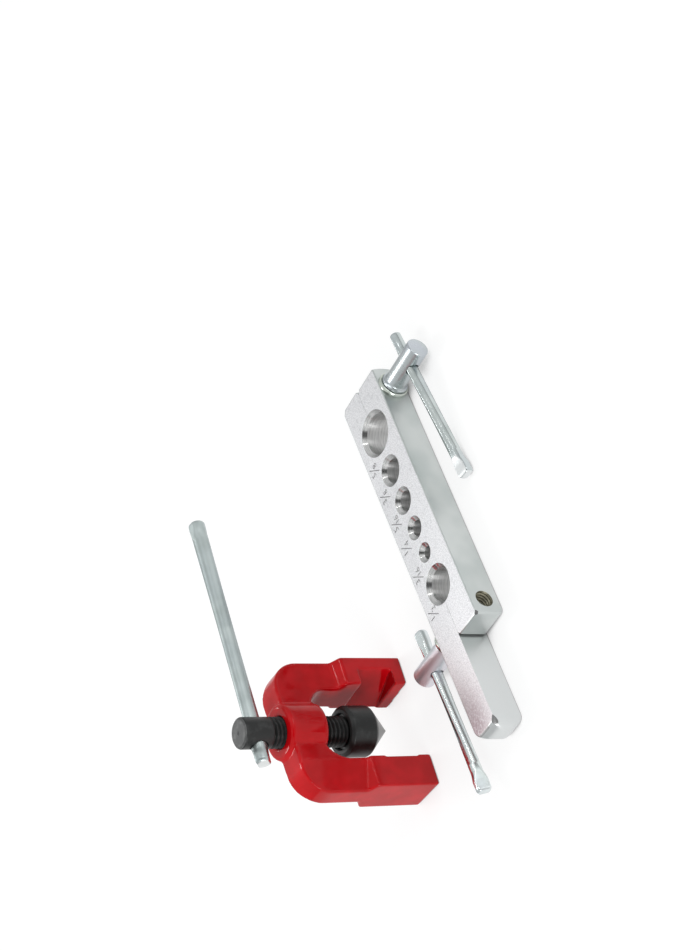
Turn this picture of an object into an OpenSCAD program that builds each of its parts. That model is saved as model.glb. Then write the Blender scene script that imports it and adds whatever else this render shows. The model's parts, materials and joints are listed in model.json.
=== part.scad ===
// Flaring tool: a split bar that clamps a tube in one of six countersunk holes, and a loose yoke
// that twists onto the bar and drives a 90 degree cone into the tube's end.
// Frame: +Z up, +X along the bar towards its tail, +Y from the long half of the bar to the short half.
// The origin is the middle of the long half's back face, which lies flat on the bench.

/* [Tube holes] */
// Tube diameter at the first hole, five eighths of an inch
hole_1_d = 15.875; // [12:0.005:18]
// Tube diameter at the second hole, three eighths of an inch
hole_2_d = 9.525; // [6:0.005:12]
// Tube diameter at the third hole, five sixteenths of an inch
hole_3_d = 7.9375; // [5:0.0005:10]
// Tube diameter at the fourth hole, a quarter of an inch
hole_4_d = 6.35; // [4:0.005:9]
// Tube diameter at the fifth hole, three sixteenths of an inch
hole_5_d = 4.7625; // [4:0.0005:8]
// Tube diameter at the sixth hole, half an inch
hole_6_d = 12.7; // [8:0.005:16]
// Steel left between two neighbouring holes
hole_web = 6.2; // [5:0.1:10]
// Depth of the 45 degree countersink that shapes the flare
flare_depth = 1.5; // [0.8:0.1:2.2]

/* [Bar] */
// Width of each half of the bar
half_w = 13.2; // [11:0.1:18]
// Thickness of the bar
bar_t = 12.3; // [11:0.1:16]
// Gap left between the halves when they are clamped
parting_gap = 0.2; // [0.1:0.05:0.5]
// Length of the long half that runs on past the short half, as a handle
tail_len = 39.1; // [25:0.1:80]
// How far the tail's end bulges at the middle of its thickness
tail_crown = 2.6; // [1:0.1:5]
// Plan radius at the outer corner of the tail
tail_corner_r = 6.5; // [2:0.1:8]
// Plan radius at the inner corner of the tail
tail_inner_r = 4.5; // [0.5:0.1:5]
// How far the bar's other ends bulge at the middle of their thickness
end_crown = 1.2; // [0.4:0.1:2.5]
// How far the short half's end is set back from the long half's
end_step = 0.6; // [0:0.1:2]
// Chamfer at the outer corner of the long half's end
outer_chamfer = 1.8; // [0.5:0.1:4]
// Chamfer on the other corners of the bar's ends
end_chamfer = 1.4; // [0.4:0.1:2]
// Chamfer at the short half's free corner beside the parting line
free_chamfer = 0.9; // [0.5:0.1:4]

/* [Guide pins] */
// Diameter of the two dowels that keep the halves in line
pin_d = 3; // [2:0.1:3.6]
// Length of each dowel in each half
pin_depth = 6; // [3:0.1:9]
// Steel left on each side of the rear dowel
pin_wall = 2.1; // [1.5:0.1:5]
// Radial interference of the dowels in the long half
pin_press = 0.01; // [0.005:0.005:0.02]
// Radial clearance of the dowels in the short half
pin_clear = 0.08; // [0.03:0.01:0.1]

/* [Clamp screws] */
// Thread diameter of the clamp screws, a quarter of an inch
clamp_d = 6.35; // [5:0.05:7]
// Thread pitch of the clamp screws, 20 turns to the inch
clamp_pitch = 1.27; // [0.8:0.01:1.5]
// Depth of the clamp screws' thread
clamp_thread_depth = 0.7; // [0.4:0.05:0.9]
// Distance from the long half's end to the upper clamp screw
upper_margin = 10.6; // [9:0.1:16]
// Distance from the lower clamp screw to the short half's end
lower_margin = 6.6; // [5.5:0.1:12]
// Steel left between the upper clamp screw and the first tube hole
screw_wall = 2; // [1:0.1:6]
// Depth of thread in the tapped half
tapped_depth = 8.5; // [6:0.1:11]
// Radial clearance of the clamp screws in both halves
clamp_clear = 0.1; // [0.03:0.01:0.1]
// Diameter of the clamp screws' heads
head_d = 8.8; // [8:0.1:11]
// Length of the clamp screws' heads
head_len = 20.7; // [16:0.1:30]
// Distance from a head's free end to its cross hole
head_hole_drop = 8.3; // [5:0.1:10]
// Chamfer on the free end of each head
head_chamfer = 0.5; // [0.2:0.1:1]
// Diameter of the collar at the foot of each head
collar_d = 10.6; // [9.5:0.1:11]
// Height of the collar at the foot of each head
collar_h = 1.3; // [0.6:0.1:2.5]
// Thickness of the clamp washers
washer_t = 1.6; // [0.8:0.1:3]
// How far the washers' edges stay inside the bar's front and back faces
washer_inset = 0.05; // [0:0.05:0.5]
// Chamfer on the outer edge of the washers
washer_chamfer = 0.4; // [0.1:0.1:0.5]
// Radial clearance of the washers round the clamp screws
washer_clear = 0.1; // [0.05:0.01:0.2]

/* [Clamp tommy bars] */
// Diameter of the clamp screws' tommy bars
rod_d = 4.76; // [3.5:0.02:5.5]
// Length of the clamp screws' tommy bars
rod_len = 71; // [50:0.5:100]
// Length of the flattened ends
rod_flat_len = 8.5; // [5:0.1:12]
// Width of the flattened ends
rod_flat_w = 5.9; // [5.8:0.05:7]
// Thickness of the flattened ends
rod_flat_t = 3.4; // [2:0.1:3.5]
// Radial clearance of the tommy bars in their heads
rod_clear = 0.1; // [0.03:0.01:0.1]
// Gap between the upper head and the near flattened end as the bar lies
upper_rod_gap = 1.1; // [0:0.1:10]
// Turn of the upper tommy bar from the bar's length
upper_rod_turn = 3.9; // [0:0.1:5]
// Gap between the lower head and the near flattened end as the bar lies
lower_rod_gap = 2.5; // [0:0.1:10]

/* [Yoke] */
// Distance along the bar from the lower clamp screw to the yoke's axis as it stands beside the bar
yoke_shift = 4.1; // [0:0.1:40]
// Distance between the lower clamp screw's head and the yoke's near face
yoke_stand_off = 19.75; // [10:0.05:60]
// Turn of the yoke from the bar's length
yoke_turn = -4.7; // [-10:0.1:10]
// Gap between the ends of the two arms, which the bar passes
arm_gap = 30.7; // [29:0.1:40]
// Turn of the gap's sides from the arms' faces
gap_turn = 4.3; // [0:0.1:5]
// Width of the thick end of each arm
foot_w = 12.25; // [9:0.05:16]
// Thickness of the thick end of each arm
foot_t = 16.9; // [16:0.1:22]
// Height of the thick end of each arm
foot_h = 26.4; // [24:0.1:40]
// Height of the sloping shoulder above the thick end
shoulder_h = 2.8; // [1:0.1:5]
// Thickness of the arms at their outer edges
arm_t = 9; // [6:0.1:10]
// Half thickness of each arm at its inner edge, on its thick side
arm_thick_side = 7.5; // [5:0.1:7.8]
// Half thickness of each arm at its inner edge, on its thin side
arm_thin_side = 5; // [4:0.1:7.5]
// Height of the arch between the arms
arch_h = 43; // [40:0.1:60]
// Inner corner radius of the arch
arch_r = 9; // [2:0.1:12]
// Thickness of the bridge above the arch
bridge_h = 12.8; // [8:0.1:20]
// Outer corner radius of the bridge
bridge_r = 12; // [4:0.1:14]
// Thickness of the lip that hooks under the bar
lip_t = 5; // [3:0.1:8]
// Room for the bar's thickness in the slot above the lip
slot_room = 2.5; // [0.5:0.1:4]
// Greatest depth of the slanted slot
slot_depth = 6.1; // [3:0.1:7]

/* [Feed screw] */
// Thread diameter of the feed screw
feed_d = 11.9; // [10:0.05:14]
// Thread pitch of the feed screw
feed_pitch = 1.75; // [1:0.05:2]
// Depth of the feed screw's thread
feed_thread_depth = 0.95; // [0.5:0.05:1.2]
// Radial clearance of the feed screw in the yoke
feed_clear = 0.1; // [0.03:0.01:0.1]
// Wall of the yoke's boss round the feed screw
boss_wall = 4.75; // [3:0.05:8]
// Rounding of the boss's rims
boss_round = 1.6; // [0.5:0.1:2.5]
// How far the boss stands above the bridge
boss_rise = 1.3; // [0.5:0.1:6]
// How far the boss hangs below the arch
boss_drop = 2; // [0.5:0.1:6]
// Thread showing between the boss and the plain head as it stands
thread_above = 4.9; // [2:0.1:20]
// Length of the plain head of the feed screw
feed_head_len = 11.8; // [10:0.1:20]
// Distance from the feed screw's top to its cross hole
feed_hole_drop = 7.1; // [5:0.1:8]
// Chamfer on the top of the feed screw
feed_chamfer = 0.9; // [0.2:0.1:2]
// Diameter of the spigot that turns in the cone
spigot_d = 8; // [6:0.1:9]

/* [Cone] */
// Diameter of the cone's body
cone_d = 19.5; // [16:0.1:22]
// Height of the cone's straight body
cone_body_h = 10.65; // [9:0.05:14]
// Chamfer on the upper rim of the cone's body
cone_chamfer = 1.4; // [0.3:0.1:2]
// Thread showing between the boss and the cone as it stands
thread_below = 10.5; // [3:0.1:20]
// Depth of the recess round the feed screw in the cone's top
recess_h = 1.6; // [0.5:0.1:2]
// Radial clearance of the recess round the feed screw
recess_clear = 1; // [0.3:0.1:1.2]
// Radial clearance of the spigot in the cone
spigot_clear = 0.1; // [0.03:0.01:0.1]
// Depth of the spigot in the cone
spigot_h = 5; // [4:0.1:7]
// Diameter of the ball that takes the thrust
ball_d = 4.5; // [3:0.1:6]
// Clearance round the ball
ball_clear = 0.03; // [0.01:0.01:0.1]
// Wire diameter of the ring that holds the cone on the spigot
ring_d = 1.2; // [0.8:0.1:1.6]
// Clearance of the ring in the spigot's groove
ring_clear = 0.1; // [0.05:0.01:0.2]
// Interference of the ring in the cone's groove
ring_press = 0.01; // [0.005:0.005:0.02]

/* [Feed tommy bar] */
// Diameter of the feed screw's tommy bar
lever_d = 6.2; // [4:0.1:7]
// Length of the feed screw's tommy bar
lever_len = 106.5; // [70:0.5:150]
// Length of the flattened ends
lever_flat_len = 6.2; // [4:0.1:12]
// Width of the flattened ends
lever_flat_w = 7; // [6.7:0.05:9]
// Thickness of the flattened ends
lever_flat_t = 5; // [2:0.1:5.5]
// Radial clearance of the tommy bar in the feed screw
lever_clear = 0.1; // [0.03:0.01:0.1]
// Gap between the feed screw and the near flattened end as it stands
lever_gap = 0.9; // [0:0.1:10]

/* [Hidden] */
$fn = 72;
// Overlap of the cutting shapes past the faces that they cut
over = 1;

// The bar, from its plain end to its tail
hole_d = [hole_1_d, hole_2_d, hole_3_d, hole_4_d, hole_5_d, hole_6_d];
hole_count = len(hole_d);
function hole_from_end(i) = i == 0
    ? upper_margin + clamp_d / 2 + screw_wall + hole_d[0] / 2
    : hole_from_end(i - 1) + hole_d[i - 1] / 2 + hole_web + hole_d[i] / 2;
holes_end = hole_from_end(hole_count - 1) + hole_d[hole_count - 1] / 2;
rear_pin_from_end = holes_end + pin_wall + pin_d / 2;
front_pin_from_end = hole_from_end(0) + hole_d[0] / 2 + hole_web / 2;
lower_from_end = rear_pin_from_end + pin_d / 2 + pin_wall + clamp_d / 2;
short_len = lower_from_end + lower_margin;
long_len = short_len + tail_len;

// Places in the shared frame
end_x = -long_len / 2;
short_end_x = end_x + short_len;
tail_x = end_x + long_len;
hole_x = [for (i = [0 : hole_count - 1]) end_x + hole_from_end(i)];
upper_x = end_x + upper_margin;
lower_x = end_x + lower_from_end;
pin_x = [end_x + front_pin_from_end, end_x + rear_pin_from_end];
mid_z = bar_t / 2;
long_face_y = half_w / 2;
parting_y = long_face_y + parting_gap / 2;
short_face_y = long_face_y + parting_gap;
short_outer_y = short_face_y + half_w;
long_outer_y = long_face_y - half_w;
function crown_r(crown) = (mid_z * mid_z + crown * crown) / (2 * crown);

// The clamp screws and their tommy bars
washer_d = bar_t - 2 * washer_inset;
shank_len = washer_t + half_w + parting_gap + tapped_depth;
rod_out = washer_t + head_len - head_hole_drop;
rod_reach = rod_len / 2 - rod_flat_len - head_d / 2;

// The yoke's own frame: its screw axis stands on the origin, its arms lie along X
yoke_x = lower_x + yoke_shift;
yoke_y = long_outer_y - washer_t - head_len - yoke_stand_off - foot_t / 2;
foot_in = arm_gap / 2;
foot_out = foot_in + foot_w;
bridge_top = arch_h + bridge_h;
boss_bottom = arch_h - boss_drop;
boss_top = bridge_top + boss_rise;
boss_r = feed_d / 2 + boss_wall;
slot_h = bar_t + slot_room;

// Heights on the feed screw's axis
head_bottom = boss_top + thread_above;
feed_top = head_bottom + feed_head_len;
lever_z = feed_top - feed_hole_drop;
cone_top = boss_bottom - thread_below;
cone_rim = cone_top - cone_body_h;
cone_tip = cone_rim - cone_d / 2;
recess_z = cone_top - recess_h;
thread_bottom = recess_z + recess_h / 2;
spigot_z = recess_z - spigot_h;
ball_z = spigot_z - ball_clear - ball_d / 2;
ring_z = recess_z - spigot_h / 2;
lever_reach = lever_len / 2 - lever_flat_len - feed_d / 2;

// How far the round part of a tommy bar runs into its flattened ends
flat_blend = 1.5;
// Turns of the flattened ends about the tommy bars, as they were struck
upper_near_flat = 40;
upper_far_flat = -6;
lower_near_flat = -8;
lower_far_flat = -70;
lever_near_flat = -7;
lever_far_flat = 39;

// Half profile of a thread as rings, from its lower end upwards
function thread_profile(z0, turns, pitch, r, depth) = concat(
    [for (i = [0 : turns - 1]) each [
        [r - depth, z0 + i * pitch],
        [r, z0 + (i + 0.4) * pitch],
        [r, z0 + (i + 0.6) * pitch]
    ]],
    [[r - depth, z0 + turns * pitch]]
);

// Triangle that takes a chamfer off a corner, which points along the given turn
module corner_off(size, turn) {
    rotate(turn)
        polygon([[over, over], [-size - over, over], [over, -size - over]]);
}

// What rounding a corner to radius r takes away, with the corner towards +X and -Y
module corner_round(r) {
    translate([-r, -over])
        difference() {
            square([r + over, r + over]);
            translate([0, r + over])
                circle(r);
        }
}

// A tube hole with the countersink at the bar's front face, on the parting plane
module tube_hole(i) {
    translate([hole_x[i], parting_y, 0]) {
        translate([0, 0, -over])
            cylinder(d = hole_d[i], h = bar_t + 2 * over);
        translate([0, 0, bar_t - flare_depth])
            cylinder(r1 = hole_d[i] / 2, r2 = hole_d[i] / 2 + flare_depth + over, h = flare_depth + over);
    }
}

module tube_holes() {
    for (i = [0 : hole_count - 1])
        tube_hole(i);
}

// A round hole across the bar, through both halves
module cross_hole(x, d) {
    translate([x, long_outer_y - over, mid_z])
        rotate([-90, 0, 0])
            cylinder(d = d, h = short_outer_y - long_outer_y + 2 * over);
}

// Side view of what an end loses when it bulges, with its tip on the origin and facing -X
module crown_off(crown) {
    r = crown_r(crown);
    difference() {
        translate([-over, -mid_z - over])
            square([r + over, bar_t + 2 * over]);
        translate([r, 0])
            circle(r);
    }
}

// Side view of the long half: both of its ends bulge
module long_side() {
    difference() {
        translate([end_x, 0])
            square([long_len, bar_t]);
        translate([end_x, mid_z])
            crown_off(end_crown);
        translate([tail_x, mid_z])
            mirror([1, 0])
                crown_off(tail_crown);
    }
}

// Plan of the long half, past the tips of its bulging ends
module long_plan() {
    difference() {
        translate([end_x - over, long_outer_y])
            square([long_len + 2 * over, half_w]);
        translate([end_x, long_outer_y])
            corner_off(outer_chamfer, 180);
        translate([end_x, long_face_y])
            corner_off(end_chamfer, 90);
        translate([tail_x, long_outer_y])
            corner_round(tail_corner_r);
        translate([tail_x, long_face_y])
            mirror([0, 1])
                corner_round(tail_inner_r);
    }
}

// Side view of the short half: one end bulges, the other has a chamfer at the back
module short_side() {
    difference() {
        translate([end_x + end_step, 0])
            square([short_len - end_step, bar_t]);
        translate([end_x + end_step, mid_z])
            crown_off(end_crown);
        translate([short_end_x, 0])
            corner_off(end_chamfer, -90);
    }
}

// Plan of the short half, past the tip of its bulging end
module short_plan() {
    difference() {
        translate([end_x + end_step - over, short_face_y])
            square([short_len - end_step + over, half_w]);
        translate([end_x + end_step, short_outer_y])
            corner_off(end_chamfer / 2, 90);
        translate([end_x + end_step, short_face_y])
            corner_off(end_chamfer, 180);
        translate([short_end_x, short_face_y])
            corner_off(free_chamfer, -90);
        translate([short_end_x, short_outer_y])
            corner_off(end_chamfer / 2, 0);
    }
}

// Extrudes a side view across both halves
module across_bar() {
    translate([0, short_outer_y + over, 0])
        rotate([90, 0, 0])
            linear_extrude(short_outer_y - long_outer_y + 2 * over)
                children();
}

// Extrudes a plan view through the bar's thickness
module through_bar() {
    translate([0, 0, -over])
        linear_extrude(bar_t + 2 * over)
            children();
}

// The holes for the two dowels, in one half, as far as the dowels reach and a little more
module pin_holes(r) {
    for (x = pin_x)
        translate([x, parting_y - parting_gap / 2 - pin_depth, mid_z])
            rotate([-90, 0, 0])
                cylinder(r = r, h = 2 * pin_depth + parting_gap + pin_clear);
}

module long_bar() {
    color("gainsboro")
        difference() {
            intersection() {
                through_bar() long_plan();
                across_bar() long_side();
            }
            tube_holes();
            pin_holes(pin_d / 2 - pin_press);
            cross_hole(upper_x, clamp_d + 2 * clamp_clear);
            cross_hole(lower_x, clamp_d + 2 * clamp_clear);
        }
}

module short_bar() {
    color("gainsboro")
        difference() {
            intersection() {
                through_bar() short_plan();
                across_bar() short_side();
            }
            tube_holes();
            pin_holes(pin_d / 2 + pin_clear);
            cross_hole(upper_x, clamp_d + 2 * clamp_clear);
            cross_hole(lower_x, clamp_d + 2 * clamp_clear);
        }
}

// A dowel that is pressed into the long half and slides in the short half
module guide_pin(x) {
    color("silver")
        translate([x, parting_y - parting_gap / 2 - pin_depth, mid_z])
            rotate([-90, 0, 0])
                cylinder(d = pin_d, h = 2 * pin_depth + parting_gap);
}

// Places a clamp screw's pieces: the axis runs out of the bar, from the outer face of its half
module at_upper() {
    translate([upper_x, short_outer_y, mid_z])
        rotate([-90, 0, 0])
            children();
}

module at_lower() {
    translate([lower_x, long_outer_y, mid_z])
        rotate([90, 0, 0])
            children();
}

// A clamp screw with a plain shank, a threaded end, a collar and a cross-drilled head
module clamp_screw() {
    turns = floor(tapped_depth / clamp_pitch);
    tip = washer_t - shank_len;
    r = clamp_d / 2;
    difference() {
        rotate_extrude()
            polygon(concat(
                [[0, tip]],
                thread_profile(tip, turns, clamp_pitch, r, clamp_thread_depth),
                [
                    [r, tip + turns * clamp_pitch + clamp_thread_depth],
                    [r, washer_t],
                    [collar_d / 2, washer_t],
                    [collar_d / 2, washer_t + collar_h],
                    [head_d / 2, washer_t + collar_h],
                    [head_d / 2, washer_t + head_len - head_chamfer],
                    [head_d / 2 - head_chamfer, washer_t + head_len],
                    [0, washer_t + head_len]
                ]
            ));
        translate([-head_d, 0, rod_out])
            rotate([0, 90, 0])
                cylinder(d = rod_d + 2 * rod_clear, h = 2 * head_d);
    }
}

module clamp_washer() {
    r = washer_d / 2;
    hole_r = clamp_d / 2 + washer_clear;
    rotate_extrude()
        polygon([
            [hole_r, 0],
            [r, 0],
            [r, washer_t - washer_chamfer],
            [r - washer_chamfer, washer_t],
            [hole_r, washer_t]
        ]);
}

// A round bar along X with flattened ends, which are turned about X as given
module tommy_bar(d, length, flat_len, flat_w, flat_t, near_turn, far_turn) {
    round_len = length - 2 * flat_len + 2 * flat_blend;
    translate([-round_len / 2, 0, 0])
        rotate([0, 90, 0])
            cylinder(d = d, h = round_len);
    for (side = [-1, 1])
        rotate([side < 0 ? near_turn : far_turn, 0, 0])
            translate([side < 0 ? -length / 2 : length / 2 - flat_len, 0, 0])
                intersection() {
                    rotate([0, 90, 0])
                        cylinder(d = flat_w, h = flat_len);
                    translate([0, -flat_w / 2, -flat_t / 2])
                        cube([flat_len, flat_w, flat_t]);
                }
}

module clamp_rod(near_turn, far_turn) {
    tommy_bar(rod_d, rod_len, rod_flat_len, rod_flat_w, rod_flat_t, near_turn, far_turn);
}

module upper_clamp_screw() {
    color("lightgray")
        at_upper()
            rotate(upper_rod_turn)
                clamp_screw();
}

module upper_clamp_washer() {
    color("silver")
        at_upper() clamp_washer();
}

module upper_tommy_bar() {
    color("lightsteelblue")
        translate([upper_x, short_outer_y + rod_out, mid_z])
            rotate([0, upper_rod_turn, 0])
                translate([rod_reach - upper_rod_gap, 0, 0])
                    clamp_rod(upper_near_flat, upper_far_flat);
}

module lower_clamp_screw() {
    color("thistle")
        at_lower() clamp_screw();
}

module lower_clamp_washer() {
    color("silver")
        at_lower() clamp_washer();
}

module lower_tommy_bar() {
    color("lightsteelblue")
        translate([lower_x + rod_reach - lower_rod_gap, long_outer_y - rod_out, mid_z])
            clamp_rod(lower_near_flat, lower_far_flat);
}

// Places the yoke's pieces beside the bar
module at_yoke() {
    translate([yoke_x, yoke_y, 0])
        rotate(yoke_turn)
            children();
}

// What rounding an inner corner leaves: the corner points towards +X and +Y
module corner_fill(r) {
    difference() {
        square([r + over, r + over]);
        circle(r);
    }
}

// Front view of the arms and the bridge, with the gap still filled
module yoke_outline() {
    difference() {
        translate([-foot_out, 0])
            square([2 * foot_out, bridge_top]);
        for (side = [0, 1])
            mirror([side, 0])
                translate([foot_out - bridge_r, bridge_top - bridge_r])
                    corner_fill(bridge_r);
    }
}

// Front view of the gap between the arms, arched at the top
module gap_outline() {
    difference() {
        translate([-foot_in, -over])
            square([2 * foot_in, arch_h + over]);
        for (side = [0, 1])
            mirror([side, 0])
                translate([foot_in - arch_r, arch_h - arch_r])
                    corner_fill(arch_r);
    }
}

// View of the arms and the bridge from above: each arm is thicker at its inner edge, on one side most
module arm_plan() {
    polygon([
        [foot_out, arm_t / 2],
        [foot_in, arm_thick_side],
        [-foot_in, arm_thin_side],
        [-foot_out, arm_t / 2],
        [-foot_out, -arm_t / 2],
        [-foot_in, -arm_thick_side],
        [foot_in, -arm_thin_side],
        [foot_out, -arm_t / 2]
    ]);
}

// Extrudes a front view of the yoke through more than its thickness
module through_yoke() {
    translate([0, foot_t, 0])
        rotate([90, 0, 0])
            linear_extrude(2 * foot_t)
                children();
}

// The thick end of an arm, with a shoulder on both faces
module arm_foot() {
    root = foot_w / 2;
    translate([foot_out - foot_w - root, 0, 0])
        rotate([90, 0, 90])
            linear_extrude(foot_w + root)
                polygon([
                    [-foot_t / 2, 0],
                    [foot_t / 2, 0],
                    [foot_t / 2, foot_h],
                    [arm_t / 2, foot_h + shoulder_h],
                    [-arm_t / 2, foot_h + shoulder_h],
                    [-foot_t / 2, foot_h]
                ]);
}

// The slanted slot above a lip: deepest at one face of the arm, nothing at the other, and run out past both
module arm_slot() {
    slope = slot_depth / foot_t;
    run_out = foot_t / 2;
    reach = foot_t / 2 + run_out;
    translate([0, 0, lip_t])
        linear_extrude(slot_h)
            polygon([
                [foot_in - slope * run_out, reach],
                [foot_in - slope * run_out, -reach],
                [foot_in + slot_depth + slope * run_out, -reach]
            ]);
}

// The round boss on the screw's axis, with rounded rims
module boss() {
    translate([0, 0, boss_bottom + boss_round])
        cylinder(r = boss_r, h = boss_top - boss_bottom - 2 * boss_round);
    for (z = [boss_bottom + boss_round, boss_top - boss_round])
        translate([0, 0, z])
            rotate_extrude()
                translate([boss_r - boss_round, 0])
                    circle(boss_round);
    translate([0, 0, boss_bottom])
        cylinder(r = boss_r - boss_round, h = boss_top - boss_bottom);
}

module yoke_frame() {
    color("firebrick")
        at_yoke()
            difference() {
                union() {
                    difference() {
                        union() {
                            intersection() {
                                through_yoke() yoke_outline();
                                linear_extrude(boss_top) arm_plan();
                            }
                            for (turn = [0, 180])
                                rotate(turn)
                                    arm_foot();
                        }
                        rotate(gap_turn)
                            through_yoke() gap_outline();
                    }
                    boss();
                }
                for (turn = [0, 180])
                    rotate(turn + gap_turn)
                        arm_slot();
                translate([0, 0, boss_bottom - over])
                    cylinder(d = feed_d + 2 * feed_clear, h = boss_top - boss_bottom + 2 * over);
            }
}

// The feed screw, with its spigot grooved for the retaining ring
module feed_screw() {
    turns = floor((head_bottom - thread_bottom) / feed_pitch);
    r = feed_d / 2;
    color("dimgray")
        at_yoke()
            difference() {
                rotate_extrude()
                    polygon(concat(
                        [[0, spigot_z], [spigot_d / 2, spigot_z], [spigot_d / 2, thread_bottom]],
                        thread_profile(thread_bottom, turns, feed_pitch, r, feed_thread_depth),
                        [
                            [r, thread_bottom + turns * feed_pitch + feed_thread_depth],
                            [r, feed_top - feed_chamfer],
                            [r - feed_chamfer, feed_top],
                            [0, feed_top]
                        ]
                    ));
                translate([0, 0, ring_z])
                    ring(ring_d / 2 + ring_clear);
                translate([-feed_d, 0, lever_z])
                    rotate([0, 90, 0])
                        cylinder(d = lever_d + 2 * lever_clear, h = 2 * feed_d);
            }
}

module feed_tommy_bar() {
    color("lightsteelblue")
        at_yoke()
            translate([lever_gap - lever_reach, 0, lever_z])
                tommy_bar(lever_d, lever_len, lever_flat_len, lever_flat_w, lever_flat_t,
                          lever_near_flat, lever_far_flat);
}

// A wire ring on the edge of the spigot
module ring(wire_r) {
    rotate_extrude()
        translate([spigot_d / 2 + spigot_clear, 0])
            circle(wire_r);
}

module flaring_cone() {
    r = cone_d / 2;
    recess_r = feed_d / 2 + recess_clear;
    color("darkslategray")
        at_yoke()
            difference() {
                rotate_extrude()
                    polygon([
                        [0, cone_tip],
                        [r, cone_rim],
                        [r, cone_top - cone_chamfer],
                        [r - cone_chamfer, cone_top],
                        [recess_r, cone_top],
                        [recess_r, recess_z],
                        [0, recess_z]
                    ]);
                translate([0, 0, ball_z])
                    cylinder(r = spigot_d / 2 + spigot_clear, h = recess_z - ball_z + over);
                translate([0, 0, ball_z])
                    sphere(d = ball_d + 2 * ball_clear);
                translate([0, 0, ring_z])
                    ring(ring_d / 2 - ring_press);
            }
}

module cone_retaining_ring() {
    color("silver")
        at_yoke()
            translate([0, 0, ring_z])
                ring(ring_d / 2);
}

module thrust_ball() {
    color("silver")
        at_yoke()
            translate([0, 0, ball_z])
                sphere(d = ball_d);
}

long_bar();
short_bar();
guide_pin(pin_x[0]);  // front_guide_pin
guide_pin(pin_x[1]);  // rear_guide_pin
upper_clamp_screw();
upper_clamp_washer();
upper_tommy_bar();
lower_clamp_screw();
lower_clamp_washer();
lower_tommy_bar();
yoke_frame();
feed_screw();
feed_tommy_bar();
flaring_cone();
cone_retaining_ring();
thrust_ball();
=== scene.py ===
"""Dresses a flaring tool: a split clamp bar, two T-handle clamp screws and a yoke with a feed screw.

The classes hold their sizes in millimetres. Meshes are made in millimetres and become metres when
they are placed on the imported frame.
"""

import json
import logging
from dataclasses import dataclass
from enum import IntEnum
from math import atan2, cos, hypot, pi, radians, sin, sqrt
from typing import Callable, Iterable, Sequence

import bmesh
import bpy
from mathutils import Matrix, Vector

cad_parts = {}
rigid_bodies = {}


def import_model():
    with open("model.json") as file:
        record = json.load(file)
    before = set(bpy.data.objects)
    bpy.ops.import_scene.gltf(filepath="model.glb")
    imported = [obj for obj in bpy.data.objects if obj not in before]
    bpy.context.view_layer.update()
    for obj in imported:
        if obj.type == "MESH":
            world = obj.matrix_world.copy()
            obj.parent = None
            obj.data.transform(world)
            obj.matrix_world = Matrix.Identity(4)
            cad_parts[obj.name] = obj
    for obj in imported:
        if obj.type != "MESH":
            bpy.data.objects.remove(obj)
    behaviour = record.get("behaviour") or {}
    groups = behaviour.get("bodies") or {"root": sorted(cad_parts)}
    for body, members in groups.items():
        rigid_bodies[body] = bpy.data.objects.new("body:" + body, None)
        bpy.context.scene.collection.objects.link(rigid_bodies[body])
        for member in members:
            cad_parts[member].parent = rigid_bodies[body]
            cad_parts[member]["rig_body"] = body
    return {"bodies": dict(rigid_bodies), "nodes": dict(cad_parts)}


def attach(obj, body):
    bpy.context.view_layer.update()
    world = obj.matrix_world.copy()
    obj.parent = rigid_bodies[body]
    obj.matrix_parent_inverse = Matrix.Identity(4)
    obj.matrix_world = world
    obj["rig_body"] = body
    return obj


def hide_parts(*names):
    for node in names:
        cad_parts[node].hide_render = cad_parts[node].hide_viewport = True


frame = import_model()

log = logging.getLogger("flaring_tool")

Object = bpy.types.Object
Material = bpy.types.Material
Socket = bpy.types.NodeSocket
Point2 = tuple[float, float]
Point3 = tuple[float, float, float]
Colour = tuple[float, float, float]
Inputs = dict[str | int, object]

MM = 0.001
TAU = 2 * pi
PAST = 1.0  # how far a cutter reaches past a face
FINE = 0.00002  # height of fine tool marks, in metres
GRAIN = 0.00004  # height of a blasted or painted grain, in metres
DRAWN = (1.0, 30.0, 30.0)  # stretch of marks along a drawn bar
TURNED = (1.0, 14.0, 1.0)  # stretch of marks round a head
EVEN = (4.0, 4.0, 4.0)  # marks that run no way


class BarFace(IntEnum):
    """The finish of a face of the bar, by its place among the bar's materials."""

    BLASTED = 0
    SATIN = 1
    BORED = 2
    # DARK is painted shade: stamped slashes, the groove under the short half's free end and the knocked
    # corners.
    DARK = 3
    TAPPED = 4
    DIGIT = 5
    FLARED = 6


# Mesh tools


def new_object(name: str, data: bpy.types.ID) -> Object:
    """Makes an object and links it to the scene.

    Args:
        name: The object's name.
        data: Its mesh, text, lamp or camera.

    Returns:
        The new object.
    """
    obj = bpy.data.objects.new(name, data)
    bpy.context.scene.collection.objects.link(obj)
    return obj


def moved(x: float, y: float, z: float) -> Matrix:
    """A move along the axes."""
    return Matrix.Translation((x, y, z))


def turned(degrees: float, axis: str) -> Matrix:
    """A turn about one of the axes."""
    return Matrix.Rotation(radians(degrees), 4, axis)


def mesh_object(name: str, verts: Sequence[Point3], faces: Sequence[Sequence[int]]) -> Object:
    """Makes a mesh object from points and faces.

    Args:
        name: The object's name.
        verts: Its points.
        faces: Corner numbers of each face.

    Returns:
        The new object, linked to the scene.
    """
    mesh = bpy.data.meshes.new(name)
    mesh.from_pydata(verts, [], faces)
    mesh.update()
    return new_object(name, mesh)


def face_outwards(obj: Object, weld: float = 1e-4) -> None:
    """Merges doubled points and turns the faces outwards.

    Args:
        obj: A closed mesh.
        weld: Distance within which points are merged.
    """
    bm = bmesh.new()
    bm.from_mesh(obj.data)
    bmesh.ops.remove_doubles(bm, verts=bm.verts, dist=weld)
    bmesh.ops.recalc_face_normals(bm, faces=bm.faces)
    bm.to_mesh(obj.data)
    bm.free()


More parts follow.
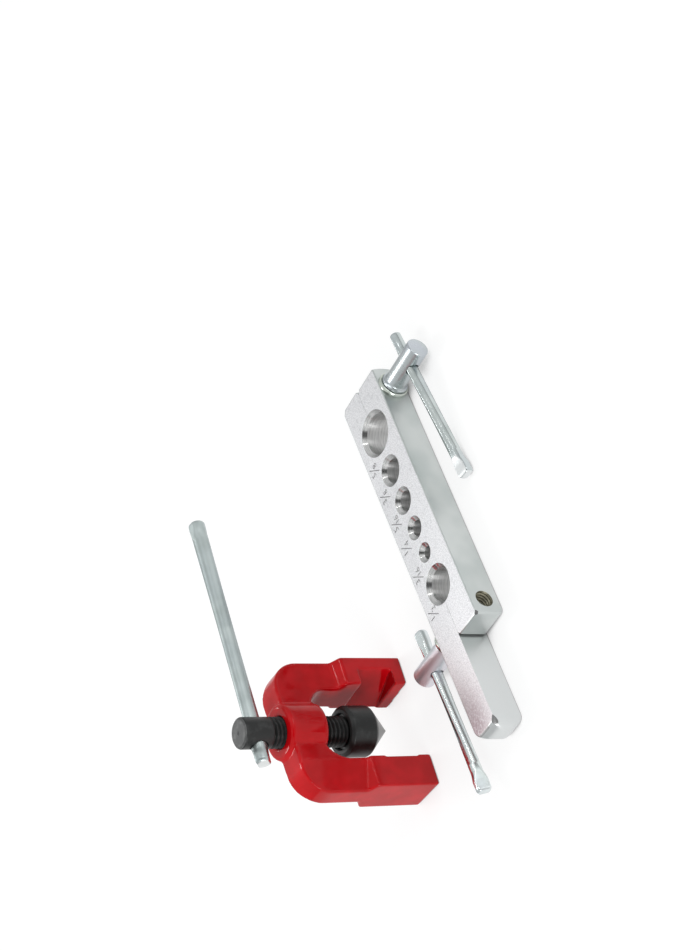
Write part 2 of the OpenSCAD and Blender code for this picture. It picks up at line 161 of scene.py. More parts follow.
def loft(name: str, rings: Sequence[Sequence[Point3]]) -> Object:
    """Makes a solid from rings of points, closed across the first and the last one.

    Args:
        name: The object's name.
        rings: Rings with the same number of points.

    Returns:
        The closed solid.
    """
    n, last = len(rings[0]), len(rings) - 1
    faces = [list(range(n)), list(range(last * n, (last + 1) * n))]
    for low in range(0, last * n, n):
        high = low + n
        faces += [[low + i, low + (i + 1) % n, high + (i + 1) % n, high + i] for i in range(n)]
    obj = mesh_object(name, [point for ring in rings for point in ring], faces)
    face_outwards(obj)
    return obj


def held(profile: Sequence[Point2], near: float = 0.12) -> list[Point2]:
    """Adds points close to the ends of a profile's long lines, so that smooth shading leaves them straight.

    Args:
        profile: Pairs of radius and height.
        near: Distance of the added points from the ends.

    Returns:
        The fuller profile.
    """
    points = [profile[0]]
    shortest = 8 * near
    for (r0, z0), (r1, z1) in zip(profile, profile[1:]):
        length = hypot(r1 - r0, z1 - z0)
        if length > shortest:
            dr, dz = (r1 - r0) * (near / length), (z1 - z0) * (near / length)
            points += [(r0 + dr, z0 + dz), (r1 - dr, z1 - dz)]
        points.append((r1, z1))
    return points


def lathe(name: str, profile: Sequence[Point2], segments: int) -> Object:
    """Turns a profile round the Z axis. An end of the profile on the axis closes the solid there.

    Args:
        name: The object's name.
        profile: Pairs of radius and height, from the lower end to the upper end.
        segments: Sides of the turned solid.

    Returns:
        The turned mesh, open at an end that isn't on the axis.
    """
    verts: list[Point3] = []
    rings: list[list[int]] = []
    for r, z in held(profile):
        sides = 1 if r < 1e-9 else segments
        rings.append(list(range(len(verts), len(verts) + sides)))
        turns = [TAU * i / segments for i in range(sides)]
        verts += [(r * cos(t), r * sin(t), z) for t in turns]
    faces: list[list[int]] = []
    for a, b in zip(rings, rings[1:]):
        for i in range(segments):
            j = (i + 1) % segments
            corners = (a[i % len(a)], a[j % len(a)], b[j % len(b)], b[i % len(b)])
            faces.append(list(dict.fromkeys(corners)))
    return mesh_object(name, verts, faces)


def bake(obj: Object) -> None:
    """Turns an object's modifiers into its plain mesh.

    Args:
        obj: The object, which has no modifiers afterwards.
    """
    depsgraph = bpy.context.evaluated_depsgraph_get()
    made = bpy.data.meshes.new_from_object(obj.evaluated_get(depsgraph))
    obj.modifiers.clear()
    old = obj.data
    obj.data = made
    if old.users == 0:
        bpy.data.meshes.remove(old)


def cut_away(target: Object, tool: Object, place: Matrix = Matrix.Identity(4)) -> None:
    """Cuts one solid by another, which is used up.

    Args:
        target: The solid that is cut.
        tool: The solid that cuts it.
        place: Where the tool goes first.
    """
    tool.data.transform(place)
    mod = target.modifiers.new("cut", "BOOLEAN")
    mod.operation = "DIFFERENCE"
    mod.solver = "EXACT"
    mod.object = tool
    bake(target)
    mesh = tool.data
    bpy.data.objects.remove(tool)
    bpy.data.meshes.remove(mesh)


def cross_hole(head: Object, at: float, radius: float, hole: float, mouth: Point2, segments: int) -> None:
    """Drills a hole along X through a round head, with a countersunk mouth at both sides.

    Args:
        head: The head, round the Z axis.
        at: Height of the hole.
        radius: Radius of the head.
        hole: Radius of the hole.
        mouth: How much wider the mouth's cutter gets outside the head, and how deep it reaches into it.
        segments: Sides of the hole.
    """
    edge, wide, deep = radius + PAST, hole + mouth[0], radius - mouth[1]
    profile = [(0, -edge), (wide, -edge), (hole, -deep), (hole, deep), (wide, edge), (0, edge)]
    cut_away(head, lathe("drill", profile, segments), moved(0, 0, at) @ turned(90, "Y"))


def weld_into(target: Object, others: Iterable[Object]) -> None:
    """Joins meshes that share their rims into one closed mesh.

    Args:
        target: The object that keeps the result.
        others: Objects whose meshes are added and used up.
    """
    bm = bmesh.new()
    bm.from_mesh(target.data)
    for other in others:
        bm.from_mesh(other.data)
        bpy.data.objects.remove(other)
    bm.to_mesh(target.data)
    bm.free()
    face_outwards(target)


def arc(centre: Point2, radius: float, start: float, end: float, steps: int) -> list[Point2]:
    """Points on an arc.

    Args:
        centre: The arc's centre.
        radius: Its radius.
        start: Where it starts, in degrees.
        end: Where it ends, in degrees.
        steps: Number of chords.

    Returns:
        The points from start to end.
    """
    turns = [radians(start + (end - start) * i / steps) for i in range(steps + 1)]
    return [(centre[0] + radius * cos(t), centre[1] + radius * sin(t)) for t in turns]


def ease(share: float) -> float:
    """Goes smoothly from 0 to 1 as the share does."""
    t = min(max(share, 0.0), 1.0)
    return t * t * (3 - 2 * t)


def smooth_by_angle(obj: Object, degrees: float = 32.0) -> None:
    """Shades a mesh smooth, with sharp edges where it bends more than the angle."""
    obj.data.shade_smooth()
    obj.data.set_sharp_from_angle(angle=radians(degrees))


def settle(
    obj: Object, matrix: Matrix, body: str, node: str, finishes: Sequence[Material]
) -> None:
    """Places a finished piece on the frame in place of a CAD node.

    Args:
        obj: The piece, in millimetres.
        matrix: Its place, in millimetres.
        body: The CAD body that it rides on.
        node: The CAD node that it stands for.
        finishes: Materials, in the order of the faces' material numbers.
    """
    obj.data.transform(Matrix.Scale(MM, 4) @ matrix)
    numbers = [face.material_index for face in obj.data.polygons]
    obj.data.materials.clear()
    for finish in finishes:
        obj.data.materials.append(finish)
    obj.data.polygons.foreach_set("material_index", numbers)
    obj.name = node + "_dressed"
    obj.data.name = obj.name
    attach(obj, body)
    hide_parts(node)
    log.info("%s: %d faces", obj.name, len(obj.data.polygons))


# Node tools


class NodeChain:
    """Adds nodes to a tree and links them as it goes."""

    def __init__(self, tree: bpy.types.NodeTree) -> None:
        """Keeps the tree that the nodes go into."""
        self.tree = tree

    def node(self, kind: str, given: Inputs | None = None, **settings: object) -> bpy.types.Node:
        """Adds a node.

        Args:
            kind: Its type name.
            given: Values or sockets for its inputs, by their name or number.
            settings: Properties to set on it.

        Returns:
            The node.
        """
        made = self.tree.nodes.new(kind)
        for name, value in settings.items():
            setattr(made, name, value)
        for key, value in (given or {}).items():
            self.feed(made.inputs[key], value)
        return made

    def feed(self, socket: Socket, value: object) -> None:
        """Links a socket to another one, or sets its value.

        Args:
            socket: The input.
            value: An output, a number, a vector or a colour.
        """
        if isinstance(value, Socket):
            self.tree.links.new(value, socket)
        elif socket.type == "RGBA":
            socket.default_value = (*value, 1.0)
        else:
            socket.default_value = value

    def math(
        self, operation: str, a: object, b: object = 0.0, c: object = 0.0, clamp: bool = False
    ) -> Socket:
        """Adds a Math node.

        Args:
            operation: What it does.
            a: First value or socket.
            b: Second value or socket.
            c: Third value or socket.
            clamp: Whether the result stays between 0 and 1.

        Returns:
            Its output.
        """
        given = {0: a, 1: b, 2: c}
        return self.node("ShaderNodeMath", given, operation=operation, use_clamp=clamp).outputs[0]

    def ramp(self, value: Socket, low: float, high: float) -> Socket:
        """Maps a value smoothly from 0 at low to 1 at high."""
        given = {"Value": value, "From Min": low, "From Max": high}
        return self.node("ShaderNodeMapRange", given, interpolation_type="SMOOTHSTEP").outputs["Result"]

    def mix(self, factor: object, a: object, b: object) -> Socket:
        """Mixes two colours by the share of the second one."""
        return self.node("ShaderNodeMix", {0: factor, 6: a, 7: b}, data_type="RGBA").outputs[2]

    def split(self, vector: Socket) -> list[Socket]:
        """The three parts of a vector."""
        return list(self.node("ShaderNodeSeparateXYZ", {0: vector}).outputs)


class Surface(NodeChain):
    """A material in the making: its shader, its coordinates and the node tools."""

    def __init__(self, name: str) -> None:
        """Starts a material with one Principled shader and Object coordinates.

        Args:
            name: Name of the material.
        """
        self.material = bpy.data.materials.new(name)
        self.material.use_nodes = True
        super().__init__(self.material.node_tree)
        self.shader = next(n for n in self.tree.nodes if n.type == "BSDF_PRINCIPLED")
        self.place = self.node("ShaderNodeTexCoord").outputs["Object"]

    def set(self, **values: object) -> Material:
        """Sets or links the shader's sockets.

        Args:
            values: Values or sockets by the name of the input, with _ for a space.

        Returns:
            The material.
        """
        for name, value in values.items():
            self.feed(self.shader.inputs[name.replace("_", " ")], value)
        return self.material

    def noise(
        self, scale: float, detail: float = 3.0, roughness: float = 0.55, stretch: Point3 | None = None
    ) -> Socket:
        """Adds a noise over the piece.

        Args:
            scale: Bumps to the metre.
            detail: Octaves.
            roughness: Share of the finer octaves.
            stretch: Factors on the coordinates, for marks that run one way.

        Returns:
            The noise, from 0 to 1.
        """
        vector = self.place
        if stretch is not None:
            vector = self.node("ShaderNodeMapping", {"Vector": vector, "Scale": stretch}).outputs["Vector"]
        given = {"Vector": vector, "Scale": scale, "Detail": detail, "Roughness": roughness}
        return self.node("ShaderNodeTexNoise", given).outputs["Fac"]

    def bump(self, height: Socket, distance: float, strength: float, under: Socket | None = None) -> Socket:
        """Adds a bump.

        Args:
            height: The height field.
            distance: Its full height, in metres.
            strength: Its strength.
            under: Normal of a bump that lies under this one.

        Returns:
            The bumped normal.
        """
        made = self.node("ShaderNodeBump", {"Strength": strength, "Distance": distance, "Height": height})
        if under is not None:
            self.feed(made.inputs["Normal"], under)
        return made.outputs["Normal"]


# Finishes


@dataclass(frozen=True)
class BlastedPlate:
    """Bright plate over a blasted face, with a fine sparkle and darker pinkish speckles towards the tail on
    its outer side.
    """

    light: Colour = (0.83, 0.83, 0.845)
    dark: Colour = (0.60, 0.60, 0.615)
    tail_speckle: Colour = (0.46, 0.39, 0.42)

    def make(self) -> Material:
        """Builds the material.

        Returns:
            The material.
        """
        s = Surface("blasted_plate")
        grain = s.noise(2200, 2.0, 0.7)
        coarse = s.noise(700, 3.0, 0.6)
        x, y, _ = s.split(s.place)
        speck = s.math("MULTIPLY", s.ramp(grain, 0.35, 0.62), s.ramp(coarse, 0.25, 0.5))
        # darker, pinkish speckles towards the tail on the outer side
        outer_side = s.ramp(s.math("MULTIPLY", y, -1.0), -0.008, 0.003)
        tail = s.math("MULTIPLY", s.ramp(x, 0.05, 0.076), outer_side)
        patch = s.math("MULTIPLY", tail, s.ramp(s.noise(900, 3.0, 0.7), 0.3, 0.6))
        return s.set(
            Base_Color=s.mix(patch, s.mix(speck, self.dark, self.light), self.tail_speckle),
            Metallic=1.0,
            Roughness=s.math("MULTIPLY_ADD", coarse, 0.2, 0.38),
            Normal=s.bump(coarse, GRAIN, 0.4, s.bump(grain, GRAIN, 0.7)),
        )


@dataclass(frozen=True)
class SatinPlate:
    """Satin plate on milled sides, greyer and smoother than the blasted face, with fine marks along X and
    lighter towards the tail.
    """

    light: Colour = (0.62, 0.65, 0.64)
    dark: Colour = (0.53, 0.57, 0.56)
    tail: Colour = (0.67, 0.69, 0.69)

    def make(self) -> Material:
        """Builds the material.

        Returns:
            The material.
        """
        s = Surface("satin_plate")
        marks = s.noise(130, 3.0, 0.6, (1.0, 22.0, 22.0))
        colour = s.mix(s.ramp(s.noise(70, 2.0, 0.5), 0.3, 0.7), self.dark, self.light)
        return s.set(
            Base_Color=s.mix(s.ramp(s.split(s.place)[0], 0.03, 0.06), colour, self.tail),
            Metallic=1.0,
            Roughness=s.math("MULTIPLY_ADD", marks, 0.12, 0.27),
            Normal=s.bump(marks, FINE, 0.3),
        )


@dataclass(frozen=True)
class BoredSteel:
    """Bright steel of the tube holes, cut in rings round a vertical axis."""

    name: str
    roughness: float
    light: Colour = (0.80, 0.80, 0.795)
    dark: Colour = (0.60, 0.60, 0.595)

    def make(self) -> Material:
        """Builds the material.

        Returns:
            The material.
        """
        s = Surface(self.name)
        rings = s.noise(180, 2.0, 0.6, (1.0, 1.0, 14.0))
        return s.set(
            Base_Color=s.mix(s.ramp(rings, 0.3, 0.7), self.dark, self.light),
            Metallic=1.0,
            Roughness=self.roughness,
            Anisotropic=1.0,
            Normal=s.bump(rings, FINE, 0.15),
            Tangent=s.node("ShaderNodeCombineXYZ", {2: 1.0}).outputs[0],
        )


@dataclass(frozen=True)
class StampedSteel:
    """The dull, shaded floor of a stamped mark or a tapped hole."""

    name: str
    light: Colour
    dark: Colour

    def make(self) -> Material:
        """Builds the material."""
        s = Surface(self.name)
        return s.set(Base_Color=s.mix(s.noise(900), self.dark, self.light), Metallic=0.9, Roughness=0.42)


@dataclass(frozen=True)
class ZincPlate:
    """Bright zinc plate on drawn or turned steel, with a tint in patches."""

    name: str
    light: Colour
    dark: Colour
    tint: Colour
    marks: Point3
    tint_share: float = 0.35
    roughness: float = 0.2

    def make(self) -> Material:
        """Builds the material.

        Returns:
            The material.
        """
        s = Surface(self.name)
        drawn = s.noise(150, 3.0, 0.6, self.marks)
        tinted = s.math("MULTIPLY", s.ramp(s.noise(75, 1.0), 0.42, 0.66), self.tint_share)
        plate = s.mix(s.ramp(s.noise(110, 2.0, 0.5), 0.3, 0.7), self.dark, self.light)
        return s.set(
            Base_Color=s.mix(tinted, plate, self.tint),
            Metallic=1.0,
            Roughness=s.math("MULTIPLY_ADD", drawn, 0.06, self.roughness),
            Normal=s.bump(drawn, FINE, 0.06),
        )


@dataclass(frozen=True)
class BlackOxide:
    """Oiled black oxide on turned steel, greyer where it is rubbed."""

    name: str
    base: Colour
    rubbed: Colour
    roughness: float

    def make(self) -> Material:
        """Builds the material.

        Returns:
            The material.
        """
        s = Surface(self.name)
        cloud = s.noise(260, 4.0, 0.6)
        turned = s.noise(240, 2.0, 0.6, (1.0, 1.0, 16.0))
        return s.set(
            Base_Color=s.mix(s.ramp(cloud, 0.45, 0.8), self.base, self.rubbed),
            Metallic=0.35,
            Roughness=s.math("MULTIPLY_ADD", cloud, 0.2, self.roughness - 0.1),
            Specular_IOR_Level=0.5,
            Normal=s.bump(turned, FINE, 0.35),
        )


@dataclass(frozen=True)
class GroundSteel:
    """Bare ground steel, with fine rings round a vertical axis."""

    light: Colour = (0.155, 0.153, 0.151)
    dark: Colour = (0.09, 0.088, 0.087)

    def make(self) -> Material:
        """Builds the material.

        Returns:
            The material.
        """
        s = Surface("ground_steel")
        rings = s.noise(150, 3.0, 0.65, (1.0, 1.0, 30.0))
        return s.set(
            Base_Color=s.mix(s.ramp(rings, 0.3, 0.7), self.dark, self.light),
            Metallic=1.0,
            Roughness=0.3,
            Normal=s.bump(rings, FINE, 0.4),
        )


@dataclass(frozen=True)
class RedEnamel:
    """Glossy red enamel over a casting, with a slight orange peel and the casting's soft waves."""

    name: str = "red_enamel"
    thin: Colour = (0.66, 0.003, 0.008)
    thick: Colour = (0.55, 0.001, 0.004)
    wave_height: float = 0.0006

    def make(self) -> Material:
        """Builds the material.

        Returns:
            The material.
        """
        s = Surface(self.name)
        waves = s.noise(120, 2.0, 0.5)
        peel = s.noise(900, 2.0, 0.5)
        return s.set(
            Base_Color=s.mix(s.ramp(waves, 0.35, 0.7), self.thick, self.thin),
            Roughness=s.math("MULTIPLY_ADD", peel, 0.1, 0.28),
            Specular_IOR_Level=0.03,
            Coat_Weight=0.45,
            Coat_Roughness=0.05,
            Normal=s.bump(waves, self.wave_height, 0.1, s.bump(peel, GRAIN, 0.25)),
        )


class Finishes:
    """All finishes of the tool, each made once."""

    def __init__(self) -> None:
        """Builds every material."""
        self.blasted = BlastedPlate().make()
        self.satin = SatinPlate().make()
        self.bored = BoredSteel("bored_steel", 0.37).make()
        # The countersinks' copy of the bored steel is smoother and painted darker, as painted shade.
        self.flared = BoredSteel("flared_steel_painted_shade", 0.2, (0.72, 0.72, 0.715), (0.54, 0.54, 0.535)).make()
        # The darkest stamped steel is painted shade: on the slashes, on the groove under the short half's
        # free end and on the knocked corners.
        self.stamp = StampedSteel("dark_painted_shade", (0.30, 0.30, 0.30), (0.16, 0.16, 0.16)).make()
        self.digit = StampedSteel("stamped_digit", (0.52, 0.52, 0.52), (0.40, 0.40, 0.40)).make()
        self.tapped = StampedSteel("tapped_hole", (0.42, 0.40, 0.31), (0.25, 0.235, 0.17)).make()
        self.struck = ZincPlate(
            "zinc_struck", (0.80, 0.82, 0.81), (0.70, 0.72, 0.71), (0.74, 0.76, 0.79), EVEN, roughness=0.3
        ).make()
        # The two clamp tommy bars are one zinc plate; the lower rod's copy is painted lighter than the upper
        # rod's, as painted light.
        self.upper_rod = ZincPlate(
            "zinc_upper_rod", (0.63, 0.68, 0.67), (0.50, 0.55, 0.54), (0.58, 0.63, 0.68), DRAWN
        ).make()
        self.lower_rod = ZincPlate(
            "zinc_lower_rod_painted_light", (0.80, 0.85, 0.84), (0.66, 0.71, 0.70), (0.74, 0.79, 0.85), DRAWN
        ).make()
        self.lever = ZincPlate(
            "zinc_lever", (0.53, 0.59, 0.585), (0.42, 0.475, 0.47), (0.46, 0.52, 0.54), DRAWN, roughness=0.38
        ).make()
        self.washer = ZincPlate(
            "zinc_washer", (0.70, 0.74, 0.69), (0.58, 0.62, 0.57), (0.62, 0.68, 0.58), EVEN
        ).make()
        # The two clamp screws' heads are one zinc plate; the lower head's copy is painted lighter than the
        # upper head's, as painted light, and takes more of its tint.
        self.upper_head = ZincPlate(
            "zinc_upper_head", (0.57, 0.61, 0.62), (0.49, 0.53, 0.54), (0.51, 0.54, 0.64), TURNED, 0.35, 0.25
        ).make()
        self.lower_head = ZincPlate(
            "zinc_lower_head_painted_light", (0.82, 0.84, 0.87), (0.70, 0.72, 0.75), (0.74, 0.71, 0.76), TURNED, 0.7, 0.34
        ).make()
        self.black = BlackOxide("black_oxide", (0.02, 0.021, 0.021), (0.05, 0.052, 0.052), 0.42).make()
        # A lighter copy of the black oxide, for the feed screw's end face.
        self.black_end = BlackOxide("black_oxide_lighter_end", (0.09, 0.092, 0.092), (0.2, 0.202, 0.2), 0.5).make()
        self.ground = GroundSteel().make()
        self.red = RedEnamel().make()
        # A darker copy of the enamel for the slots' bottoms: painted shade of the recess.
        self.red_slot_shade = RedEnamel("red_enamel_slot_painted_shade", (0.36, 0.002, 0.005), (0.29, 0.001, 0.003)).make()


# Threads


class HelicalThread:
    """A right-hand thread as an open tube, made by a node tree with its sizes as inputs."""

    sizes: tuple[str, ...] = ("Radius", "Depth", "Pitch", "Length", "Run-out")
    counts: tuple[str, ...] = ("Segments", "Steps")
    root_share: float = 0.18
    flank_share: float = 0.62
    run_out: float = 0.6
    steps_per_turn: int = 12
    weld: float = 0.0005

    def __init__(self) -> None:
        """Builds the tree once."""
        self.tree = bpy.data.node_groups.new("helical_thread", "GeometryNodeTree")
        face = self.tree.interface
        kinds = dict.fromkeys(self.sizes, "NodeSocketFloat") | dict.fromkeys(self.counts, "NodeSocketInt")
        kinds["Material"] = "NodeSocketMaterial"
        self.ids = [face.new_socket(n, in_out="INPUT", socket_type=k).identifier for n, k in kinds.items()]
        face.new_socket("Geometry", in_out="OUTPUT", socket_type="NodeSocketGeometry")
        c = NodeChain(self.tree)
        m = c.math
        given = c.node("NodeGroupInput").outputs
        across, along = m("ADD", given["Segments"], 1.0), m("ADD", given["Steps"], 1.0)
        size = {"Size X": 1.0, "Size Y": 1.0, "Vertices X": across, "Vertices Y": along}
        grid = c.node("GeometryNodeMeshGrid", size)
        x, y, _ = c.split(c.node("GeometryNodeInputPosition").outputs[0])
        turn = m("ADD", x, 0.5)
        height = m("MULTIPLY", m("ADD", y, 0.5), given["Length"])
        phase = m("FRACT", m("SUBTRACT", m("DIVIDE", height, given["Pitch"]), turn))
        ridge = m("MULTIPLY", m("ABSOLUTE", m("SUBTRACT", phase, 0.5)), 2.0)
        crest = m("DIVIDE", m("SUBTRACT", ridge, self.root_share), self.flank_share, clamp=True)
        near_end = m("MINIMUM", height, m("SUBTRACT", given["Length"], height))
        fade = m("DIVIDE", near_end, given["Run-out"], clamp=True)
        cut = m("MULTIPLY", m("MULTIPLY", given["Depth"], fade), m("SUBTRACT", 1.0, crest))
        radius = m("SUBTRACT", given["Radius"], cut)
        angle = m("MULTIPLY", turn, TAU)
        rounded = {0: m("MULTIPLY", radius, m("COSINE", angle)), 1: m("MULTIPLY", radius, m("SINE", angle))}
        place = c.node("ShaderNodeCombineXYZ", {**rounded, 2: height}).outputs[0]
        bent = c.node("GeometryNodeSetPosition", {"Geometry": grid.outputs["Mesh"], "Position": place})
        closed = c.node("GeometryNodeMergeByDistance", {"Geometry": bent.outputs[0], "Distance": self.weld})
        real = c.node("GeometryNodeRealizeInstances", {0: closed.outputs[0]})
        finish = {"Geometry": real.outputs[0], "Material": given["Material"]}
        c.node("NodeGroupOutput", {0: c.node("GeometryNodeSetMaterial", finish).outputs[0]})

    def tube(
        self, radius: float, depth: float, pitch: float, span: Point2, finish: Material, segments: int
    ) -> Object:
        """Makes one threaded tube round the Z axis, plain at both rims.

        Args:
            radius: Outer radius.
            depth: Depth of the thread.
            pitch: Its pitch.
            span: Heights of the lower and the upper rim.
            finish: Its material.
            segments: Sides of the tube.

        Returns:
            The tube as a plain mesh, open at both rims.
        """
        obj = mesh_object("thread", [], [])
        mod = obj.modifiers.new("thread", "NODES")
        mod.node_group = self.tree
        length = span[1] - span[0]
        steps = round(length / pitch * self.steps_per_turn)
        values = (radius, depth, pitch, length, pitch * self.run_out, segments, steps, finish)
        for identifier, value in zip(self.ids, values):
            mod[identifier] = value
        bake(obj)
        obj.data.transform(moved(0, 0, span[0]))
        return obj


# Sub-assemblies. In the lathes' profiles, offsets of about a millimetre or less are blends and chamfers.


@dataclass
class ClampBar:
    """The split bar: its two halves, their tube holes, tapped holes and stamped sizes."""

    finishes: Finishes
    thread: HelicalThread
    half_w: float = 13.2
    thick: float = 12.3
    gap: float = 0.2
    long_len: float = 160.0
    short_len: float = 120.9
    tail_crown: float = 2.6
    tail_corner: float = 6.5
    tail_inner: float = 4.5
    end_crown: float = 1.2
    end_step: float = 0.6
    outer_chamfer: float = 1.8
    end_chamfer: float = 1.4
    free_chamfer: float = 0.9
    edge: float = 0.5
    tail_round: float = 0.8
    tail_power: float = 2.5
    end_round: float = 0.6
    seam_closed: float = 0.13
    nick_way: Point3 = (0.575, 0.633, 0.518)
    tail_nick: float = 0.5
    short_nick: float = 0.35
    flare: float = 1.5
    tube_d: tuple[float, ...] = (15.875, 9.525, 7.9375, 6.35, 4.7625, 12.7)
    tube_from_end: tuple[float, ...] = (23.7125, 42.6125, 57.54375, 70.8875, 82.64375, 97.575)
    upper_from_end: float = 10.6
    lower_from_end: float = 114.3
    screw_bore: float = 3.275
    bore_len: float = 15.0
    bore_sides: int = 48
    tap_clear: float = 0.1
    tap_depth: float = 0.42
    tap_mouth: float = 0.3
    tap_flare: float = 0.4
    tap_reach: float = 4.2
    pitch: float = 1.27
    rib_start: float = 0.8
    rib_pitch: float = 0.6
    rib_depth: float = 0.03
    sizes: tuple[str, ...] = ("5/8", "3/8", "5/16", "1/4", "3/16", "1/2")
    size_from_end: tuple[float, ...] = (35.2, 48.4, 62.05, 73.7, 87.3, 104.4)
    size_y: float = -2.1
    size_reach: float = 4.0
    size_edge: float = 6.2
    digit_h: float = 2.8
    digit_scale: float = 1.38
    digit_space: float = 0.92
    digit_at: tuple[Point2, Point2] = ((-0.52, 0.36), (0.52, -0.46))
    slash_len: float = 7.2
    slash_half: float = 0.17
    slash_round: float = 0.9
    slash_turn: float = 52.7
    slash_reach: Point2 = (0.1, 0.19)
    stamp_depth: float = 0.22
    smooth: float = 28.0
    level: float = 1e-3
    slanted: float = 0.5
    tap_facing: float = 0.95
    seam_facing: float = 0.999
    flare_facing: float = 0.3
    stamp_facing: float = -0.1
    flat_facing: float = 0.9999
    hole_reach: float = 0.02

    def __post_init__(self) -> None:
        """Works out the places that both halves share."""
        self.end_x = -self.long_len / 2
        self.parting_y = self.half_w / 2 + self.gap / 2
        self.mid_z = self.thick / 2
        self.upper_x = self.end_x + self.upper_from_end
        self.lower_x = self.end_x + self.lower_from_end
        self.long_outer = -self.half_w / 2
        self.short_inner = self.half_w / 2 + self.gap
        self.short_outer = self.short_inner + self.half_w

    def tube_cutter(self, diameter: float) -> Object:
        """The tool for one tube hole: a ribbed bore with a countersink.

        Args:
            diameter: The tube's diameter.

        Returns:
            The cutter, round the Z axis.
        """
        r, top, p = diameter / 2, self.thick - self.flare, self.rib_pitch
        profile: list[Point2] = [(0, -PAST), (r, -PAST), (r, 0.5)]
        for i in range(int((top - 2 * self.rib_start) / p)):
            z = self.rib_start + i * p
            profile += [(r, z), (r + self.rib_depth, z + 0.35 * p), (r, z + 0.7 * p)]
        profile += [(r, top), (r + self.flare + PAST, self.thick + PAST), (0, self.thick + PAST)]
        return lathe("tube_cutter", profile, 96)

    def tap_cutter(self) -> Object:
        """The tool for a tapped hole across a half, with a countersunk mouth at both faces.

        Returns:
            The cutter, round the Z axis, from 0 to the half's width.
        """
        r, m, w, n = self.screw_bore + self.tap_clear, self.tap_mouth, self.half_w, self.bore_sides
        wide = r + self.tap_flare
        tube = self.thread.tube(r, self.tap_depth, self.pitch, (m, w - m), self.finishes.tapped, n)
        low = lathe("tap_low", [(0, -PAST), (wide, -PAST), (r, m)], n)
        high = lathe("tap_high", [(r, w - m), (wide, w + PAST), (0, w + PAST)], n)
        weld_into(tube, (low, high))
        return tube

    def levels(self) -> list[float]:
        """Heights of the rings from which a half is built, closer together near its front and back."""
        low = [0.0, 0.03, 0.1, 0.2, 0.33, 0.5, 0.8, 1.2, 1.7, 2.3, 3.1, 4.0, 5.0]
        return low + [self.mid_z] + [self.thick - z for z in reversed(low)]

    def crown(self, z: float, bulge: float, blend: float) -> float:
        """How far a bulging end lies behind its tip.

        Args:
            z: Height at which it is measured.
            bulge: How far the end bulges at mid thickness.
            blend: Radius with which it runs into the front and the back.

        Returns:
            The distance from the tip, along the bar.
        """
        high = abs(z - self.mid_z)
        radius = (self.mid_z**2 + bulge**2) / (2 * bulge)
        off = self.mid_z - blend
        along = sqrt((radius - blend) ** 2 - off**2)
        if high <= radius * sin(atan2(off, along)):
            return radius - sqrt(radius**2 - high**2)
        return radius - along - sqrt(max(blend**2 - (high - off) ** 2, 0.0))

    def rounding(self, z: float, radius: float) -> float:
        """How far a rounded long edge lies behind its side at a height."""
        high = max(abs(z - self.mid_z) - (self.mid_z - radius), 0.0)
        return radius - sqrt(max(radius**2 - high**2, 0.0))

    def blank(
        self, plan: Sequence[Point2], parting: float, far: Callable[[float], float], power: float = 1.0
    ) -> Object:
        """A half before its holes are cut: its plan in rings, whose ends move with the height.

        Args:
            plan: Outline from above, with all points at one end or the other.
            parting: Place of its parting face, whose edges stay sharp.
            far: How far the end at +X lies behind its tip at a height.
            power: How the far end's plan and side view combine: 1 moves the plan, more cuts it off.

        Returns:
            The closed solid.
        """
        tip = max(x for x, _ in plan)
        rings: list[list[Point3]] = []
        for z in self.levels():
            share = 1 - self.rounding(z, self.edge) / self.half_w
            near = self.crown(z, self.end_crown, self.end_round)
            ring: list[Point3] = []
            for x, y in plan:
                back = ((tip - x) ** power + far(z) ** power) ** (1 / power)
                ring.append((x + near if x < 0 else tip - back, parting + (y - parting) * share, z))
            rings.append(ring)
        return loft("bar", rings)

    def cut_holes(self, bar: Object, face_y: float, plain_x: float, tapped_x: float) -> None:
        """Cuts the tube holes and both screws' holes into a half.

        Args:
            bar: The half.
            face_y: The face at which the screws' cutters start.
            plain_x: Place of the plain hole.
            tapped_x: Place of the tapped hole.
        """
        for from_end, diameter in zip(self.tube_from_end, self.tube_d):
            cut_away(bar, self.tube_cutter(diameter), moved(self.end_x + from_end, self.parting_y, 0))
        r, far = self.screw_bore, self.bore_len
        bore = lathe("plain_hole", [(0, -PAST), (r, -PAST), (r, far), (0, far)], self.bore_sides)
        for tool, x in ((self.tap_cutter(), tapped_x), (bore, plain_x)):
            cut_away(bar, tool, moved(x, face_y, self.mid_z) @ turned(-90, "X"))

    def stamp(self, size: str) -> list[Object]:
        """The punches for one stamped fraction: two numbers and a slash.

        Args:
            size: The fraction.

        Returns:
            The punches, about the origin, reading along +X with their tops towards +Y.
        """
        made: list[Object] = []
        for digits, (x, y) in zip(size.split("/"), self.digit_at):
            text = bpy.data.curves.new("digits", "FONT")
            text.body = digits
            text.size = self.digit_h * self.digit_scale
            text.space_character = self.digit_space
            text.align_x = "CENTER"
            text.align_y = "CENTER"
            text.extrude = self.stamp_depth
            text.resolution_u = 3
            shown = new_object("digits", text)
            depsgraph = bpy.context.evaluated_depsgraph_get()
            punch = new_object("punch", bpy.data.meshes.new_from_object(shown.evaluated_get(depsgraph)))
            bpy.data.objects.remove(shown)
            punch.data.transform(moved(x * self.digit_h, y * self.digit_h, 0))
            face_outwards(punch)
            made.append(punch)
        r, deep = self.slash_half * self.slash_round, self.stamp_depth
        long, wide = self.slash_len / 2 - r, self.slash_half - r
        outline: list[Point2] = []
        for x, y, start in ((-long, -wide, 180), (long, -wide, 270), (long, wide, 0), (-long, wide, 90)):
            outline += arc((x, y), r, start, start + 90, 3)
        slash = loft("slash", [[(x, y, z) for x, y in outline] for z in (-deep, deep)])
        slash.data.transform(turned(self.slash_turn, "Z"))
        return [*made, slash]

